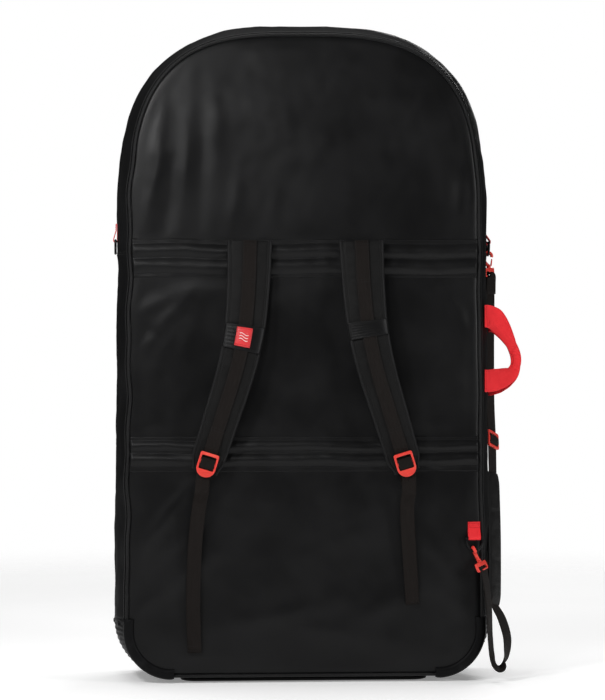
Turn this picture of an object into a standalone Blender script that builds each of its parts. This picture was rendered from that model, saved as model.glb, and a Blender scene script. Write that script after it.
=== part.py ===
"""Padded travel bag for a bodyboard, with a backpack harness, a carry handle and a hook-on shoulder strap.

The bag stands on its base at Z = 0. X runs across it, its harness faces -Y, and its zip-round cover faces +Y.
"""

import math

import bpy
import numpy as np
from mathutils import Matrix, Vector

# Driving dimensions, in metres.
HALF_TOP = 0.309            # half width of the seam line where the arch starts
HALF_LOW = 0.3155           # half width of the seam line above the bottom corners
SEAM_BASE = 0.013           # height of the seam line along the base
CORNER_RADIUS = 0.080
ARCH_START = 0.800
ARCH_TOP = 1.147
ARCH_POWER = 3.1            # superellipse exponent of the arch
SEAM_DEPTH = 0.0955         # distance of each seam line from the middle of the depth
GUSSET_EDGE = 0.0920        # where the gusset starts, just inside the piping
BULGE = 0.021               # how far the gusset swells past the seam line
BULGE_POWER = 2.5
GAP = 0.0003                # between pieces that touch
FABRIC = 0.0020
WALL = 0.0025
FOAM = 0.0080
LINING = 0.0010
PIPING_RADIUS = 0.0028
ZIP_LINE = 0.0441           # depth of the zip, on the cover side of the gusset
TAPE_WIDTH = 0.0094
TAPE = 0.0012
COVER_HINGE_HEIGHT = 0.1165
GUSSET_SEAM_HEIGHT = 0.754
SPLIT = 0.0020              # half the gap at a split between two strips of gusset
BAND_THICKNESS = 0.0060
BAND_HEIGHTS = {"upper_band": (0.717, 0.786), "lower_band": (0.373, 0.437)}
WEBBING = 0.0016
HARNESS_WEBBING_WIDTH = 0.025
STRAP_WEBBING_WIDTH = 0.038
PAD_THICKNESS = 0.013
PAD_WIDTHS = (0.075, 0.055)
RING_WIRE = 0.0022

BLACK_FABRIC = ("fabric_black", (0.016, 0.016, 0.017), 0.62, 0.0)
BAND_FABRIC = ("fabric_band", (0.019, 0.019, 0.020), 0.60, 0.0)
LINING_FABRIC = ("fabric_lining", (0.030, 0.030, 0.032), 0.70, 0.0)
FOAM_GREY = ("foam_grey", (0.16, 0.16, 0.17), 0.90, 0.0)
PIPING_BLACK = ("piping_black", (0.020, 0.020, 0.021), 0.45, 0.0)
WEBBING_BLACK = ("webbing_black", (0.013, 0.011, 0.010), 0.65, 0.0)
WEBBING_RED = ("webbing_red", (0.62, 0.035, 0.035), 0.65, 0.0)
PLASTIC_RED = ("plastic_red", (0.78, 0.075, 0.055), 0.35, 0.0)
PLASTIC_GREY = ("plastic_grey", (0.030, 0.030, 0.032), 0.50, 0.0)
METAL_BLACK = ("metal_black", (0.030, 0.030, 0.030), 0.35, 1.0)
RUBBER_BLACK = ("rubber_black", (0.010, 0.010, 0.010), 0.55, 0.0)
ZIP_BLACK = ("zip_black", (0.014, 0.014, 0.015), 0.55, 0.0)
LABEL_RED = ("label_red", (0.60, 0.030, 0.035), 0.50, 0.0)


def clear_scene():
    for obj in list(bpy.data.objects):
        bpy.data.objects.remove(obj, do_unlink=True)


def material(finish):
    name, colour, roughness, metallic = finish
    found = bpy.data.materials.get(name)
    if found:
        return found
    made = bpy.data.materials.new(name)
    made.use_nodes = True
    shader = made.node_tree.nodes["Principled BSDF"]
    shader.inputs["Base Color"].default_value = (*colour, 1.0)
    shader.inputs["Roughness"].default_value = roughness
    shader.inputs["Metallic"].default_value = metallic
    return made


def add(name, data, finish):
    obj = bpy.data.objects.new(name, data)
    data.materials.append(material(finish))
    PARTS.objects.link(obj)
    return obj


def pivot(name, point, *pieces):
    """An empty on a joint's axis, which carries the pieces that turn about it."""
    empty = bpy.data.objects.new(name, None)
    empty.location = point
    PARTS.objects.link(empty)
    for piece in pieces:
        piece.parent = empty
        piece.matrix_parent_inverse = Matrix.Translation(-Vector(point))


def unit(vectors):
    vectors = np.asarray(vectors, float)
    return vectors / np.linalg.norm(vectors, axis=-1, keepdims=True)


def smooth_path(points, per_span=4):
    """A Catmull-Rom curve through the points, with per_span steps between neighbours."""
    points = np.asarray(points, float)
    ends = np.vstack([2 * points[0] - points[1], points, 2 * points[-1] - points[-2]])
    steps = np.linspace(0, 1, per_span, endpoint=False)[:, None]
    spans = []
    for p0, p1, p2, p3 in zip(ends, ends[1:], ends[2:], ends[3:]):
        slope_in, slope_out = (p2 - p0) / 2, (p3 - p1) / 2
        blend = 3 * steps**2 - 2 * steps**3
        lead, tail = steps**3 - 2 * steps**2 + steps, steps**3 - steps**2
        spans.append((1 - blend) * p1 + blend * p2 + lead * slope_in + tail * slope_out)
    return np.vstack([*spans, points[-1:]])


def surface(name, grid, thickness, finish, ring=False):
    """A sheet through a grid of points, given its thickness evenly to both sides. A ring closes on itself."""
    rows, columns = grid.shape[:2]
    index = np.arange(rows * columns).reshape(rows, columns)
    if ring:
        index = np.vstack([index, index[:1]])
    quads = np.stack([index[:-1, :-1], index[:-1, 1:], index[1:, 1:], index[1:, :-1]], axis=-1)
    mesh = bpy.data.meshes.new(name)
    mesh.from_pydata(grid.reshape(-1, 3).tolist(), [], quads.reshape(-1, 4).tolist())
    obj = add(name, mesh, finish)
    solidify = obj.modifiers.new("Thickness", "SOLIDIFY")
    solidify.thickness = thickness
    solidify.offset = 0.0
    return obj


def ribbon(name, path, across, width, thickness, finish):
    """Webbing along a path: across is its width direction, made square to the path."""
    path = np.asarray(path, float)
    along = unit(np.gradient(path, axis=0))
    across = np.broadcast_to(np.asarray(across, float), path.shape)
    across = unit(across - along * (across * along).sum(axis=1, keepdims=True))
    half = across * np.broadcast_to(np.asarray(width, float), len(path))[:, None] / 2
    return surface(name, np.stack([path - half, path + half], axis=1), thickness, finish)


def tube(name, path, radius, finish, cyclic=False):
    curve = bpy.data.curves.new(name, "CURVE")
    curve.dimensions = "3D"
    curve.bevel_depth = radius
    curve.bevel_resolution = 1
    curve.use_fill_caps = not cyclic
    spline = curve.splines.new("POLY")
    spline.points.add(len(path) - 1)
    for point, place in zip(spline.points, path):
        point.co = (*place, 1.0)
    spline.use_cyclic_u = cyclic
    return add(name, curve, finish)


def plate(name, loops, thickness, finish, matrix):
    """A flat plate: the first loop is its outline and any others are its windows. Local Z is its normal."""
    curve = bpy.data.curves.new(name, "CURVE")
    curve.dimensions = "2D"
    curve.fill_mode = "BOTH"
    curve.extrude = thickness / 2
    for loop in loops:
        spline = curve.splines.new("POLY")
        spline.points.add(len(loop) - 1)
        for point, place in zip(spline.points, loop):
            point.co = (place[0], place[1], 0.0, 1.0)
        spline.use_cyclic_u = True
    obj = add(name, curve, finish)
    obj.matrix_world = matrix
    return obj


def rounded(width, height, radius, centre=(0.0, 0.0), steps=3):
    """A rectangle with rounded corners, counter-clockwise."""
    points = []
    for turn, (side, end) in enumerate(((1, 1), (-1, 1), (-1, -1), (1, -1))):
        corner = (centre[0] + side * (width / 2 - radius), centre[1] + end * (height / 2 - radius))
        for step in range(steps + 1):
            angle = math.pi / 2 * (turn + step / steps)
            points.append((corner[0] + radius * math.cos(angle), corner[1] + radius * math.sin(angle)))
    return points


def frame_matrix(right, up, place):
    """The placing matrix whose local X is right, local Y is up and local Z is their normal."""
    right, up = unit(right), unit(up)
    normal = np.cross(right, up)
    matrix = Matrix.Identity(4)
    for row in range(3):
        matrix[row][0], matrix[row][1], matrix[row][2] = right[row], up[row], normal[row]
        matrix[row][3] = place[row]
    return matrix


def seam_side(height):
    """Half width of the seam line on the straight sides, which widen a little downwards."""
    low = SEAM_BASE + CORNER_RADIUS
    return HALF_LOW + (HALF_TOP - HALF_LOW) * (height - low) / (ARCH_START - low)


def seam():
    """The closed seam line as (x, z) from the middle of the base up the +X side, with its outward normals."""
    angles = np.linspace(-math.pi / 2, 0, 7)
    corner = np.column_stack([
        HALF_LOW - CORNER_RADIUS + CORNER_RADIUS * np.cos(angles),
        SEAM_BASE + CORNER_RADIUS + CORNER_RADIUS * np.sin(angles),
    ])
    stops = [COVER_HINGE_HEIGHT - SPLIT, COVER_HINGE_HEIGHT + SPLIT, 0.32, 0.54]
    stops += [GUSSET_SEAM_HEIGHT - SPLIT, GUSSET_SEAM_HEIGHT + SPLIT]
    side = np.array([(seam_side(height), height) for height in stops])
    turn = np.linspace(0, math.pi / 2, 14)
    arch = np.column_stack([
        HALF_TOP * np.cos(turn).clip(0) ** (2 / ARCH_POWER),
        ARCH_START + (ARCH_TOP - ARCH_START) * np.sin(turn) ** (2 / ARCH_POWER),
    ])
    arch[-1, 0] = 0.0
    half = np.vstack([[(0.0, SEAM_BASE)], corner, side, arch])
    points = np.vstack([half, half[-2:0:-1] * (-1, 1)])
    forward = unit(np.roll(points, -1, axis=0) - points)
    tangent = unit(forward + np.roll(forward, 1, axis=0))
    return points, np.column_stack([tangent[:, 1], -tangent[:, 0]])


def seam_above(height):
    """The part of the seam line above a height, from the +X side over the arch to the -X side."""
    points, normals = seam()
    keep = points[:, 1] > height
    return points[keep], normals[keep]


def seam_below(height):
    """The part of the seam line below a height, from the -X side round the base to the +X side."""
    points, normals = seam()
    keep = points[:, 1] < height
    order = np.argsort(np.where(np.arange(len(points)) > len(points) / 2, 0, 1), kind="stable")
    order = order[keep[order]]
    return points[order], normals[order]


def swell(height):
    """How much of the gusset's bulge is left near the base, where the bag's weight flattens it."""
    rise = np.clip(height / 0.13, 0, 1)
    return 0.25 + 0.75 * rise**2 * (3 - 2 * rise)


def offset_at(depth, height):
    """How far the gusset stands outside the seam line at a depth and a height."""
    return BULGE * swell(height) * (1 - np.abs(depth / GUSSET_EDGE) ** BULGE_POWER)


def strip_grid(course, depths, lift=0.0):
    """The gusset's surface along a course of the seam line, between the given depths."""
    points, normals = course
    depths = np.asarray(depths, float)
    out = offset_at(depths[None, :], points[:, 1][:, None]) + lift
    x = points[:, 0][:, None] + normals[:, 0][:, None] * out
    z = points[:, 1][:, None] + normals[:, 1][:, None] * out
    return np.stack([x, np.broadcast_to(depths, x.shape), z], axis=-1)


def gusset_x(depth, height):
    """Outer face of the gusset on the +X side."""
    return seam_side(height) + offset_at(depth, height) + WALL / 2


def make_panel(name, outline, depth, thickness, finish):
    matrix = frame_matrix((1, 0, 0), (0, 0, 1), (0, depth, 0))
    return plate(name, [outline.tolist()], thickness, finish, matrix)


def make_layers(side, prefix, course):
    """Outer fabric, foam and lining of a panel, from the outside in."""
    made = []
    points, normals = course
    depth = SEAM_DEPTH + 0.001
    for part, thickness, inset, finish in (
        ("panel", FABRIC, 0.0035, BLACK_FABRIC),
        ("foam", FOAM, 0.0065, FOAM_GREY),
        ("lining", LINING, 0.0065, LINING_FABRIC),
    ):
        middle = side * (depth - thickness / 2)
        made.append(make_panel(f"{prefix}_{part}", points - normals * inset, middle, thickness, finish))
        depth -= thickness + GAP
    return made


def make_body():
    """Everything sewn to the bag's fixed half: harness-side panel, gusset, base, bands and guards."""
    make_layers(-1, "back", seam())
    points = seam()[0]
    ring = np.column_stack([points[:, 0], np.full(len(points), -SEAM_DEPTH), points[:, 1]])
    tube("back_piping", ring, PIPING_RADIUS, PIPING_BLACK, cyclic=True)
    front = ZIP_LINE - TAPE_WIDTH - 2 * GAP
    depths = np.linspace(-GUSSET_EDGE, front, 6)
    above = seam_above(GUSSET_SEAM_HEIGHT)
    surface("gusset_arch", strip_grid(above, depths), WALL, BLACK_FABRIC)
    for side, name in ((1, "gusset_right"), (-1, "gusset_left")):
        heights = np.linspace(COVER_HINGE_HEIGHT + SPLIT, GUSSET_SEAM_HEIGHT - SPLIT, 5)[::side]
        course = (
            np.column_stack([side * seam_side(heights), heights]),
            np.tile((float(side), 0.0), (len(heights), 1)),
        )
        surface(name, strip_grid(course, depths), WALL, BLACK_FABRIC)
    opening = seam_above(COVER_HINGE_HEIGHT)
    tape = (ZIP_LINE - GAP - TAPE_WIDTH, ZIP_LINE - GAP)
    surface("zip_tape_bag", strip_grid(opening, tape), TAPE, ZIP_BLACK)
    make_base()
    make_bands()


def make_base():
    """The full-depth base strip, the base pad that the bag stands on and the cover-side kick panel."""
    below = seam_below(COVER_HINGE_HEIGHT)
    wide = np.linspace(-GUSSET_EDGE, GUSSET_EDGE, 7)
    surface("base_strip", strip_grid(below, wide)[::-1], WALL, BLACK_FABRIC)
    strip_low = SEAM_BASE - offset_at(0.0, SEAM_BASE) - WALL / 2
    height = strip_low - GAP
    pad_place = frame_matrix((1, 0, 0), (0, 1, 0), (0, 0, height / 2))
    plate("base_pad", [rounded(0.44, 0.14, 0.02)], height, BLACK_FABRIC, pad_place)
    points, normals = below
    make_panel("kick_panel", points - normals * 0.0035, SEAM_DEPTH, FABRIC, BLACK_FABRIC)
    for side, name in ((1, "corner_guard_right"), (-1, "corner_guard_left")):
        make_guard(side, name, below)


def make_guard(side, name, below):
    """A moulded guard round a bottom corner, with a lip over the panel's edge on each face."""
    points, normals = below
    keep = (points[:, 0] * side > 0.23)
    points, normals = points[keep], normals[keep]
    lip = [(-0.1008, -0.0090), (-0.1012, -0.0010), (-0.0990, 0.0048)]
    wall = [(depth, None) for depth in np.linspace(-0.0900, 0.0900, 7)]
    section = [*lip, *wall, *[(-depth, out) for depth, out in reversed(lip)]]
    columns = []
    for depth, out in section:
        if out is None:
            reach = offset_at(depth, points[:, 1]) + WALL + 0.0006
        else:
            reach = np.full(len(points), out)
        x = points[:, 0] + normals[:, 0] * reach
        z = points[:, 1] + normals[:, 1] * reach
        columns.append(np.column_stack([x, np.full(len(points), depth), z]))
    surface(name, np.stack(columns, axis=1)[::-1], WALL, PLASTIC_GREY)


def make_bands():
    """The two padded reinforcement bands across the harness-side panel."""
    face = SEAM_DEPTH + 0.001 + GAP
    for name, (low, high) in BAND_HEIGHTS.items():
        half = seam_side((low + high) / 2) - 0.0065
        matrix = frame_matrix((1, 0, 0), (0, 0, 1), (0, -face - BAND_THICKNESS / 2, (low + high) / 2))
        plate(name, [rounded(2 * half, high - low, 0.003, steps=1)], BAND_THICKNESS, BAND_FABRIC, matrix)


def make_cover():
    """The zip-round cover, which folds down about a line above the base on the +Y face."""
    opening = seam_above(COVER_HINGE_HEIGHT)
    pieces = make_layers(1, "cover", opening)
    points = opening[0]
    path = np.column_stack([points[:, 0], np.full(len(points), SEAM_DEPTH), points[:, 1]])
    pieces.append(tube("cover_piping", path, PIPING_RADIUS, PIPING_BLACK))
    tape = (ZIP_LINE + GAP, ZIP_LINE + GAP + TAPE_WIDTH)
    pieces.append(surface("zip_tape_cover", strip_grid(opening, tape), TAPE, ZIP_BLACK))
    depths = np.linspace(ZIP_LINE + TAPE_WIDTH + 2 * GAP, GUSSET_EDGE, 4)
    pieces.append(surface("cover_wall", strip_grid(opening, depths), WALL, BLACK_FABRIC))
    pivot("cover_hinge", (0, SEAM_DEPTH + 0.003, COVER_HINGE_HEIGHT), *pieces)


def make_zip_end(side, name):
    """A zip slider on the top of the arch and its moulded pull, which lies along the zip."""
    x = -0.061 + side * 0.0098
    rise = HALF_TOP**ARCH_POWER - abs(x) ** ARCH_POWER
    seam_z = ARCH_START + (ARCH_TOP - ARCH_START) * rise ** (1 / ARCH_POWER) / HALF_TOP
    top = seam_z + offset_at(ZIP_LINE - 0.005, seam_z) + TAPE / 2 + 0.0007
    slider_height = 0.0045
    place = frame_matrix((1, 0, 0), (0, 1, 0), (x, ZIP_LINE, top + slider_height / 2))
    slider = plate(f"zip_slider_{name}", [rounded(0.013, 0.010, 0.003)], slider_height, PLASTIC_RED, place)
    pivot(f"zip_slider_{name}_slide", (x, ZIP_LINE, top), slider)
    hinge = (x + side * 0.0090, ZIP_LINE, top + 0.0025)
    loop = [rounded(0.044, 0.012, 0.0055, (side * 0.0225, 0)), rounded(0.028, 0.005, 0.0022, (side * 0.0165, 0))]
    place = frame_matrix((1, 0, 0), (0, 1, 0), hinge)
    pull = plate(f"zip_pull_{name}", loop, 0.0036, RUBBER_BLACK, place)
    pivot(f"zip_pull_{name}_hinge", hinge, pull)


def strap_frames(side):
    """Path, width direction, outward normal and width of a harness pad, from its top seam down."""
    path = smooth_path([
        (0.0985 * side, -0.1115, 0.782),
        (0.1010 * side, -0.1200, 0.713),
        (0.1065 * side, -0.1300, 0.6425),
        (0.1155 * side, -0.1340, 0.589),
        (0.1290 * side, -0.1330, 0.536),
        (0.1565 * side, -0.1260, 0.448),
        (0.1790 * side, -0.1180, 0.375),
    ], 3)
    along = unit(np.gradient(path, axis=0))
    across = unit(np.cross(along, (0, -1, 0)) * -1)
    normal = np.cross(along, across)
    normal *= -np.sign(normal[:, 1:2])
    width = np.interp(path[:, 2], (0.375, 0.782), PAD_WIDTHS[::-1])
    return path, across, normal, width


def between(values, heights, low, high, count):
    """Values read along a path at evenly spaced heights."""
    wanted = np.linspace(high, low, count)
    order = np.argsort(heights)
    columns = [np.interp(wanted, heights[order], column[order]) for column in np.atleast_2d(values.T)]
    return np.array(columns).T.squeeze()


def make_harness(side, name, wrap_low, wrap_high, tail_points):
    """One padded shoulder strap with its webbing, wrap, ladder lock, tail and anchor."""
    path, across, normal, width = strap_frames(side)
    heights = path[:, 2]
    pad = ribbon(f"harness_pad_{name}", path, across, width, PAD_THICKNESS, BAND_FABRIC)
    lift = PAD_THICKNESS / 2 + 0.0007 + WEBBING / 2
    line = path + normal * lift
    keep = heights > 0.410
    webbing = ribbon(
        f"harness_webbing_{name}", line[keep], across[keep], HARNESS_WEBBING_WIDTH, WEBBING, WEBBING_BLACK)
    wrap = make_wrap(f"harness_wrap_{name}", side, wrap_low, wrap_high)
    pieces = [pad, webbing, wrap]
    if side < 0:
        tab = between(path + normal * (lift + 0.0045), heights, 0.595, 0.628, 3)
        turned = between(across, heights, 0.595, 0.628, 3)
        pieces.append(ribbon("label_tab", tab, turned, 0.028, 0.001, LABEL_RED))
    pivot(f"harness_{name}_swing", path[0], *pieces)
    make_lock(side, name, tail_points)


def make_wrap(name, side, low, high):
    """A fabric sleeve round the pad and its webbing."""
    path, across, normal, width = strap_frames(side)
    heights = path[:, 2]
    middle, turned, out = (between(values, heights, low, high, 4) for values in (path, across, normal))
    half = between(width, heights, low, high, 4)[:, None] / 2 + 0.0022
    front, back = PAD_THICKNESS / 2 + 0.0042, PAD_THICKNESS / 2 + 0.0026
    corners = [(1, -0.6 * back), (1, 0.6 * front), (0.9, front), (-0.9, front), (-1, 0.6 * front)]
    corners += [(-1, -0.6 * back), (-0.9, -back), (0.9, -back)]
    ring = np.stack([middle + turned * half * sideways + out * lift for sideways, lift in corners])
    return surface(name, ring[:: -side], 0.0014, BAND_FABRIC, ring=True)


def lock_frame(side):
    """Centre of a ladder lock, its width direction and its upward direction."""
    path, across, normal, _ = strap_frames(side)
    heights = path[:, 2]
    middle, right, out = (between(values, heights, 0.387, 0.389, 2)[0] for values in (path, across, normal))
    up = unit(np.cross(out, right))
    up *= np.sign(up[2])
    right = np.cross(up, out)
    return middle + out * 0.0135, right, up, out


def make_lock(side, name, tail_points):
    """The ladder lock on the pad's end, the tail that leaves it and the anchor webbing behind."""
    centre, right, up, _ = lock_frame(side)
    width, height = 0.034, 0.044
    dee = [(width / 2, height / 2), (-width / 2, height / 2), (-width / 2, -height / 8)]
    for step in range(1, 8):
        angle = math.pi * (1 + step / 8)
        dee.append((width / 2 * math.cos(angle), -height / 8 + 0.375 * height * math.sin(angle)))
    dee.append((width / 2, -height / 8))
    windows = [rounded(0.0265, 0.009, 0.002, (0, 0.0120)), rounded(0.0265, 0.009, 0.002, (0, -0.0040))]
    lock = plate(f"ladder_lock_{name}", [dee, *windows], 0.004, PLASTIC_RED, frame_matrix(right, up, centre))
    tail = ribbon(
        f"harness_tail_{name}", smooth_path(tail_points, 3), (1, 0, 0),
        HARNESS_WEBBING_WIDTH, WEBBING, WEBBING_BLACK)
    pivot(f"ladder_lock_{name}_tilt", centre + up * height * 0.45, lock, tail)
    anchor = smooth_path([
        (0.1740 * side, -0.1048, 0.415),
        (0.1780 * side, -0.1050, 0.385),
        (0.1805 * side, -0.1065, 0.362),
        (0.1815 * side, -0.1120, 0.352),
        (0.1820 * side, -0.1190, 0.350),
        (0.1820 * side, -0.1240, 0.355),
    ], 2)
    ribbon(f"harness_anchor_{name}", anchor, (1, 0, 0), HARNESS_WEBBING_WIDTH, WEBBING, WEBBING_BLACK)


def make_ring(name, bar, along, out, keeper_width, keeper_height, stand=0.0):
    """A webbing keeper folded round the bar of a D-ring. Its sewn end lies further in by stand."""
    bar, along, out = np.asarray(bar, float), unit(along), unit(out)
    up = np.array((0.0, 0.0, 1.0))
    bend = RING_WIRE + 0.0003 + WEBBING / 2
    sewn = bar - out * (bend + stand) + up * keeper_height
    fold = [sewn, sewn - up * 0.012]
    for angle in np.linspace(0, -math.pi, 7):
        fold.append(bar - out * bend * math.cos(angle) + up * bend * math.sin(angle))
    fold.append(bar + out * bend + up * 0.003)
    fold.append(sewn + out * 0.0022 - up * 0.012)
    fold.append(sewn + out * 0.0022)
    ribbon(f"keeper_{name}", fold, along, keeper_width, WEBBING, WEBBING_RED)
    half, drop = keeper_width / 2 + 0.0035, 0.024
    ring = [bar + along * half, bar - along * half]
    for angle in np.linspace(math.pi, 2 * math.pi, 9):
        ring.append(bar + along * half * math.cos(angle) - up * 0.004 + up * drop * math.sin(angle) * 0.8)
    return tube(f"d_ring_{name}", ring, RING_WIRE, METAL_BLACK, cyclic=True)


def make_hook(name, centre, down, out, right):
    """A snap hook: bow, sprung gate and the slotted base that the webbing is sewn through."""
    centre, down, out = np.asarray(centre, float), unit(down), np.asarray(out, float)
    out = unit(out - down * (out @ down))
    bow = []
    reach = 0.0070
    for angle in np.linspace(-0.3, math.pi, 9):
        bow.append(centre + out * reach * math.cos(angle) - down * reach * math.sin(angle))
    for sideways, drop in ((-0.0070, 0.0080), (-0.0035, 0.0140), (0.0, 0.0175), (0.0, 0.0205)):
        bow.append(centre + out * sideways + down * drop)
    hook = tube(f"hook_{name}", bow, 0.0025, PLASTIC_RED)
    foot = centre + out * 0.0045 + down * 0.0165
    gate = tube(f"hook_{name}_gate", [centre + out * 0.0068 + down * 0.0055, foot], 0.0014, PLASTIC_RED)
    pivot(f"hook_{name}_gate_hinge", foot, gate)
    right = unit(right - down * (np.asarray(right) @ down))
    middle = centre + down * 0.0290
    slot = [rounded(0.046, 0.0160, 0.003, steps=2), rounded(0.039, 0.0060, 0.001, (0, -0.0025), steps=1)]
    base = plate(f"hook_{name}_base", slot, 0.0045, PLASTIC_RED, frame_matrix(right, -down, middle))
    return [hook, base]


def make_shoulder_strap():
    """The hook-on strap along the +X gusset: upper webbing, tri-glide, pad, lower loop and two hooks."""
    ring_x = gusset_x(0.030, 0.78) + 0.0110
    make_ring("right_upper", (ring_x, 0.030, 0.7835), (0, 1, 0), (1, 0, 0), 0.025, 0.030, 0.0065)
    make_ring("right_lower", (0.3000, -0.1080, 0.2560), (1, 0, 0), (0, -1, 0), 0.018, 0.021, 0.0068)
    upper = (ring_x, 0.030, 0.7585)
    lower = (0.3003, -0.1081, 0.2322)
    pieces = make_hook("upper", upper, (0.08, 0, -1), (1, 0, 0), (0.35, 0.937, 0))
    pieces += make_hook("lower", lower, (0.40, -0.10, -0.90), (0, -1, 0.1), (0.90, 0.30, 0.36))
    line = smooth_path([
        (ring_x + 0.0030, 0.0300, 0.7205),
        (0.3440, 0.0300, 0.6700),
        (0.3427, 0.0290, 0.6000),
        (0.3427, 0.0250, 0.5000),
        (0.3434, 0.0080, 0.4300),
        (0.3432, -0.0160, 0.3720),
    ], 3)
    facing = np.linspace((0.35, 0.937, 0), (0.25, 0.94, -0.25), len(line))
    pieces.append(ribbon(
        "strap_webbing_upper", line, facing, STRAP_WEBBING_WIDTH, WEBBING, WEBBING_BLACK))
    pad_line = smooth_path([(0.3438, -0.0180, 0.3660), (0.3440, -0.0420, 0.2500), (0.3410, -0.0620, 0.1330)], 4)
    pieces.append(ribbon("shoulder_pad", pad_line, (0.25, 0.97, 0), 0.052, 0.008, BLACK_FABRIC))
    loop = smooth_path([
        (0.3412, -0.0630, 0.1310),
        (0.3500, -0.0680, 0.1050),
        (0.3600, -0.0760, 0.0700),
        (0.3560, -0.0880, 0.0400),
        (0.3440, -0.0990, 0.0270),
        (0.3340, -0.1080, 0.0380),
        (0.3300, -0.1130, 0.0800),
        (0.3262, -0.1150, 0.1350),
        (0.3178, -0.1126, 0.1915),
    ], 3)
    facing = np.linspace((0.25, 0.97, 0), (0.85, 0.42, 0.30), len(loop))
    pieces.append(ribbon(
        "strap_webbing_lower", loop, facing, STRAP_WEBBING_WIDTH, WEBBING, WEBBING_BLACK))
    pivot("shoulder_strap_swing", lower, *pieces)
    slots = [rounded(0.046, 0.030, 0.004, steps=2)]
    slots += [rounded(0.039, 0.006, 0.001, (0, lift), steps=1) for lift in (0.0075, -0.0075)]
    centre = (0.3479, 0.0053, 0.4254)
    place = frame_matrix((0.27, 0.910, -0.291), (0, 0.305, 0.952), centre)
    glide = plate("tri_glide", slots, 0.004, PLASTIC_RED, place)
    pivot("tri_glide_slide", centre, glide)


def make_handle():
    """The carry handle on the +X gusset: two webbing loops brought together in a folded grip."""
    middle, reach = 0.590, 0.3815
    roots = {"front": (0.3205, -0.0905), "rear": (gusset_x(-0.004, middle) + 0.0012, -0.0060)}
    for name, (x, y) in roots.items():
        meet = -0.0420 + (0.0016 if name == "rear" else -0.0016)
        bow = [
            (x, y, 0.0590, 0, 0.040),
            (x + (reach - x) * 0.38, y + (meet - y) * 0.34, 0.0590, 0, 0.040),
            (x + (reach - x) * 0.76, y + (meet - y) * 0.78, 0.0530, 15, 0.034),
            (reach - 0.0030, y + (meet - y) * 0.97, 0.0400, 50, 0.022),
            (reach, meet, 0.0270, 90, 0.016),
            (reach + 0.0010, meet, 0.0, 90, 0.016),
        ]
        path, across, width = [], [], []
        for end in (1, -1):
            for px, py, pz, tilt, wide in bow[::end][(end < 0):]:
                path.append((px, py, middle + end * pz))
                across.append((end * math.sin(math.radians(tilt)), 0, math.cos(math.radians(tilt))))
                width.append(wide)
        ribbon(f"handle_loop_{name}", path, across, width, 0.0015, WEBBING_RED)
    x_half, y_half = 0.0105, 0.0048
    ring = []
    for angle in np.linspace(0, 2 * math.pi, 12, endpoint=False):
        x = reach + 0.0010 + x_half * math.copysign(abs(math.cos(angle)) ** 0.6, math.cos(angle))
        y = -0.0420 + y_half * math.copysign(abs(math.sin(angle)) ** 0.6, math.sin(angle))
        ring.append([(x, y, middle + z) for z in (-0.026, 0.0, 0.026)])
    grip = surface("handle_grip", np.array(ring), 0.0016, WEBBING_RED, ring=True)
    pivot("handle_swing", (0.3300, -0.0450, middle), grip)


clear_scene()
PARTS = bpy.data.collections.new("bodyboard_bag")
bpy.context.scene.collection.children.link(PARTS)
make_body()
make_cover()
make_zip_end(-1, "left")
make_zip_end(1, "right")
make_harness(1, "right", 0.612, 0.640, [
    (0.1800, -0.1370, 0.381),
    (0.1815, -0.1365, 0.362),
    (0.1810, -0.1310, 0.340),
    (0.1790, -0.1200, 0.315),
    (0.1810, -0.1130, 0.270),
    (0.1860, -0.1080, 0.200),
    (0.1900, -0.1060, 0.138),
])
make_harness(-1, "left", 0.589, 0.632, [
    (-0.1800, -0.1370, 0.381),
    (-0.1820, -0.1365, 0.362),
    (-0.1840, -0.1310, 0.340),
    (-0.1880, -0.1200, 0.315),
    (-0.1950, -0.1110, 0.250),
    (-0.1985, -0.1070, 0.150),
    (-0.1960, -0.1060, 0.055),
])
left_ring = make_ring("left", (-gusset_x(0.0, 0.79) - 0.0042, 0.0, 0.7850), (0, 1, 0), (-1, 0, 0), 0.025, 0.030)
pivot("d_ring_left_swing", (-gusset_x(0.0, 0.79) - 0.0042, 0.0, 0.7850), left_ring)
make_shoulder_strap()
make_handle()
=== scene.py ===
"""Looks of a padded bodyboard travel bag, seen from its harness side.

Each piece is a surface worked out with numpy around the frame's solids, with a procedural finish.
"""

import math

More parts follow.
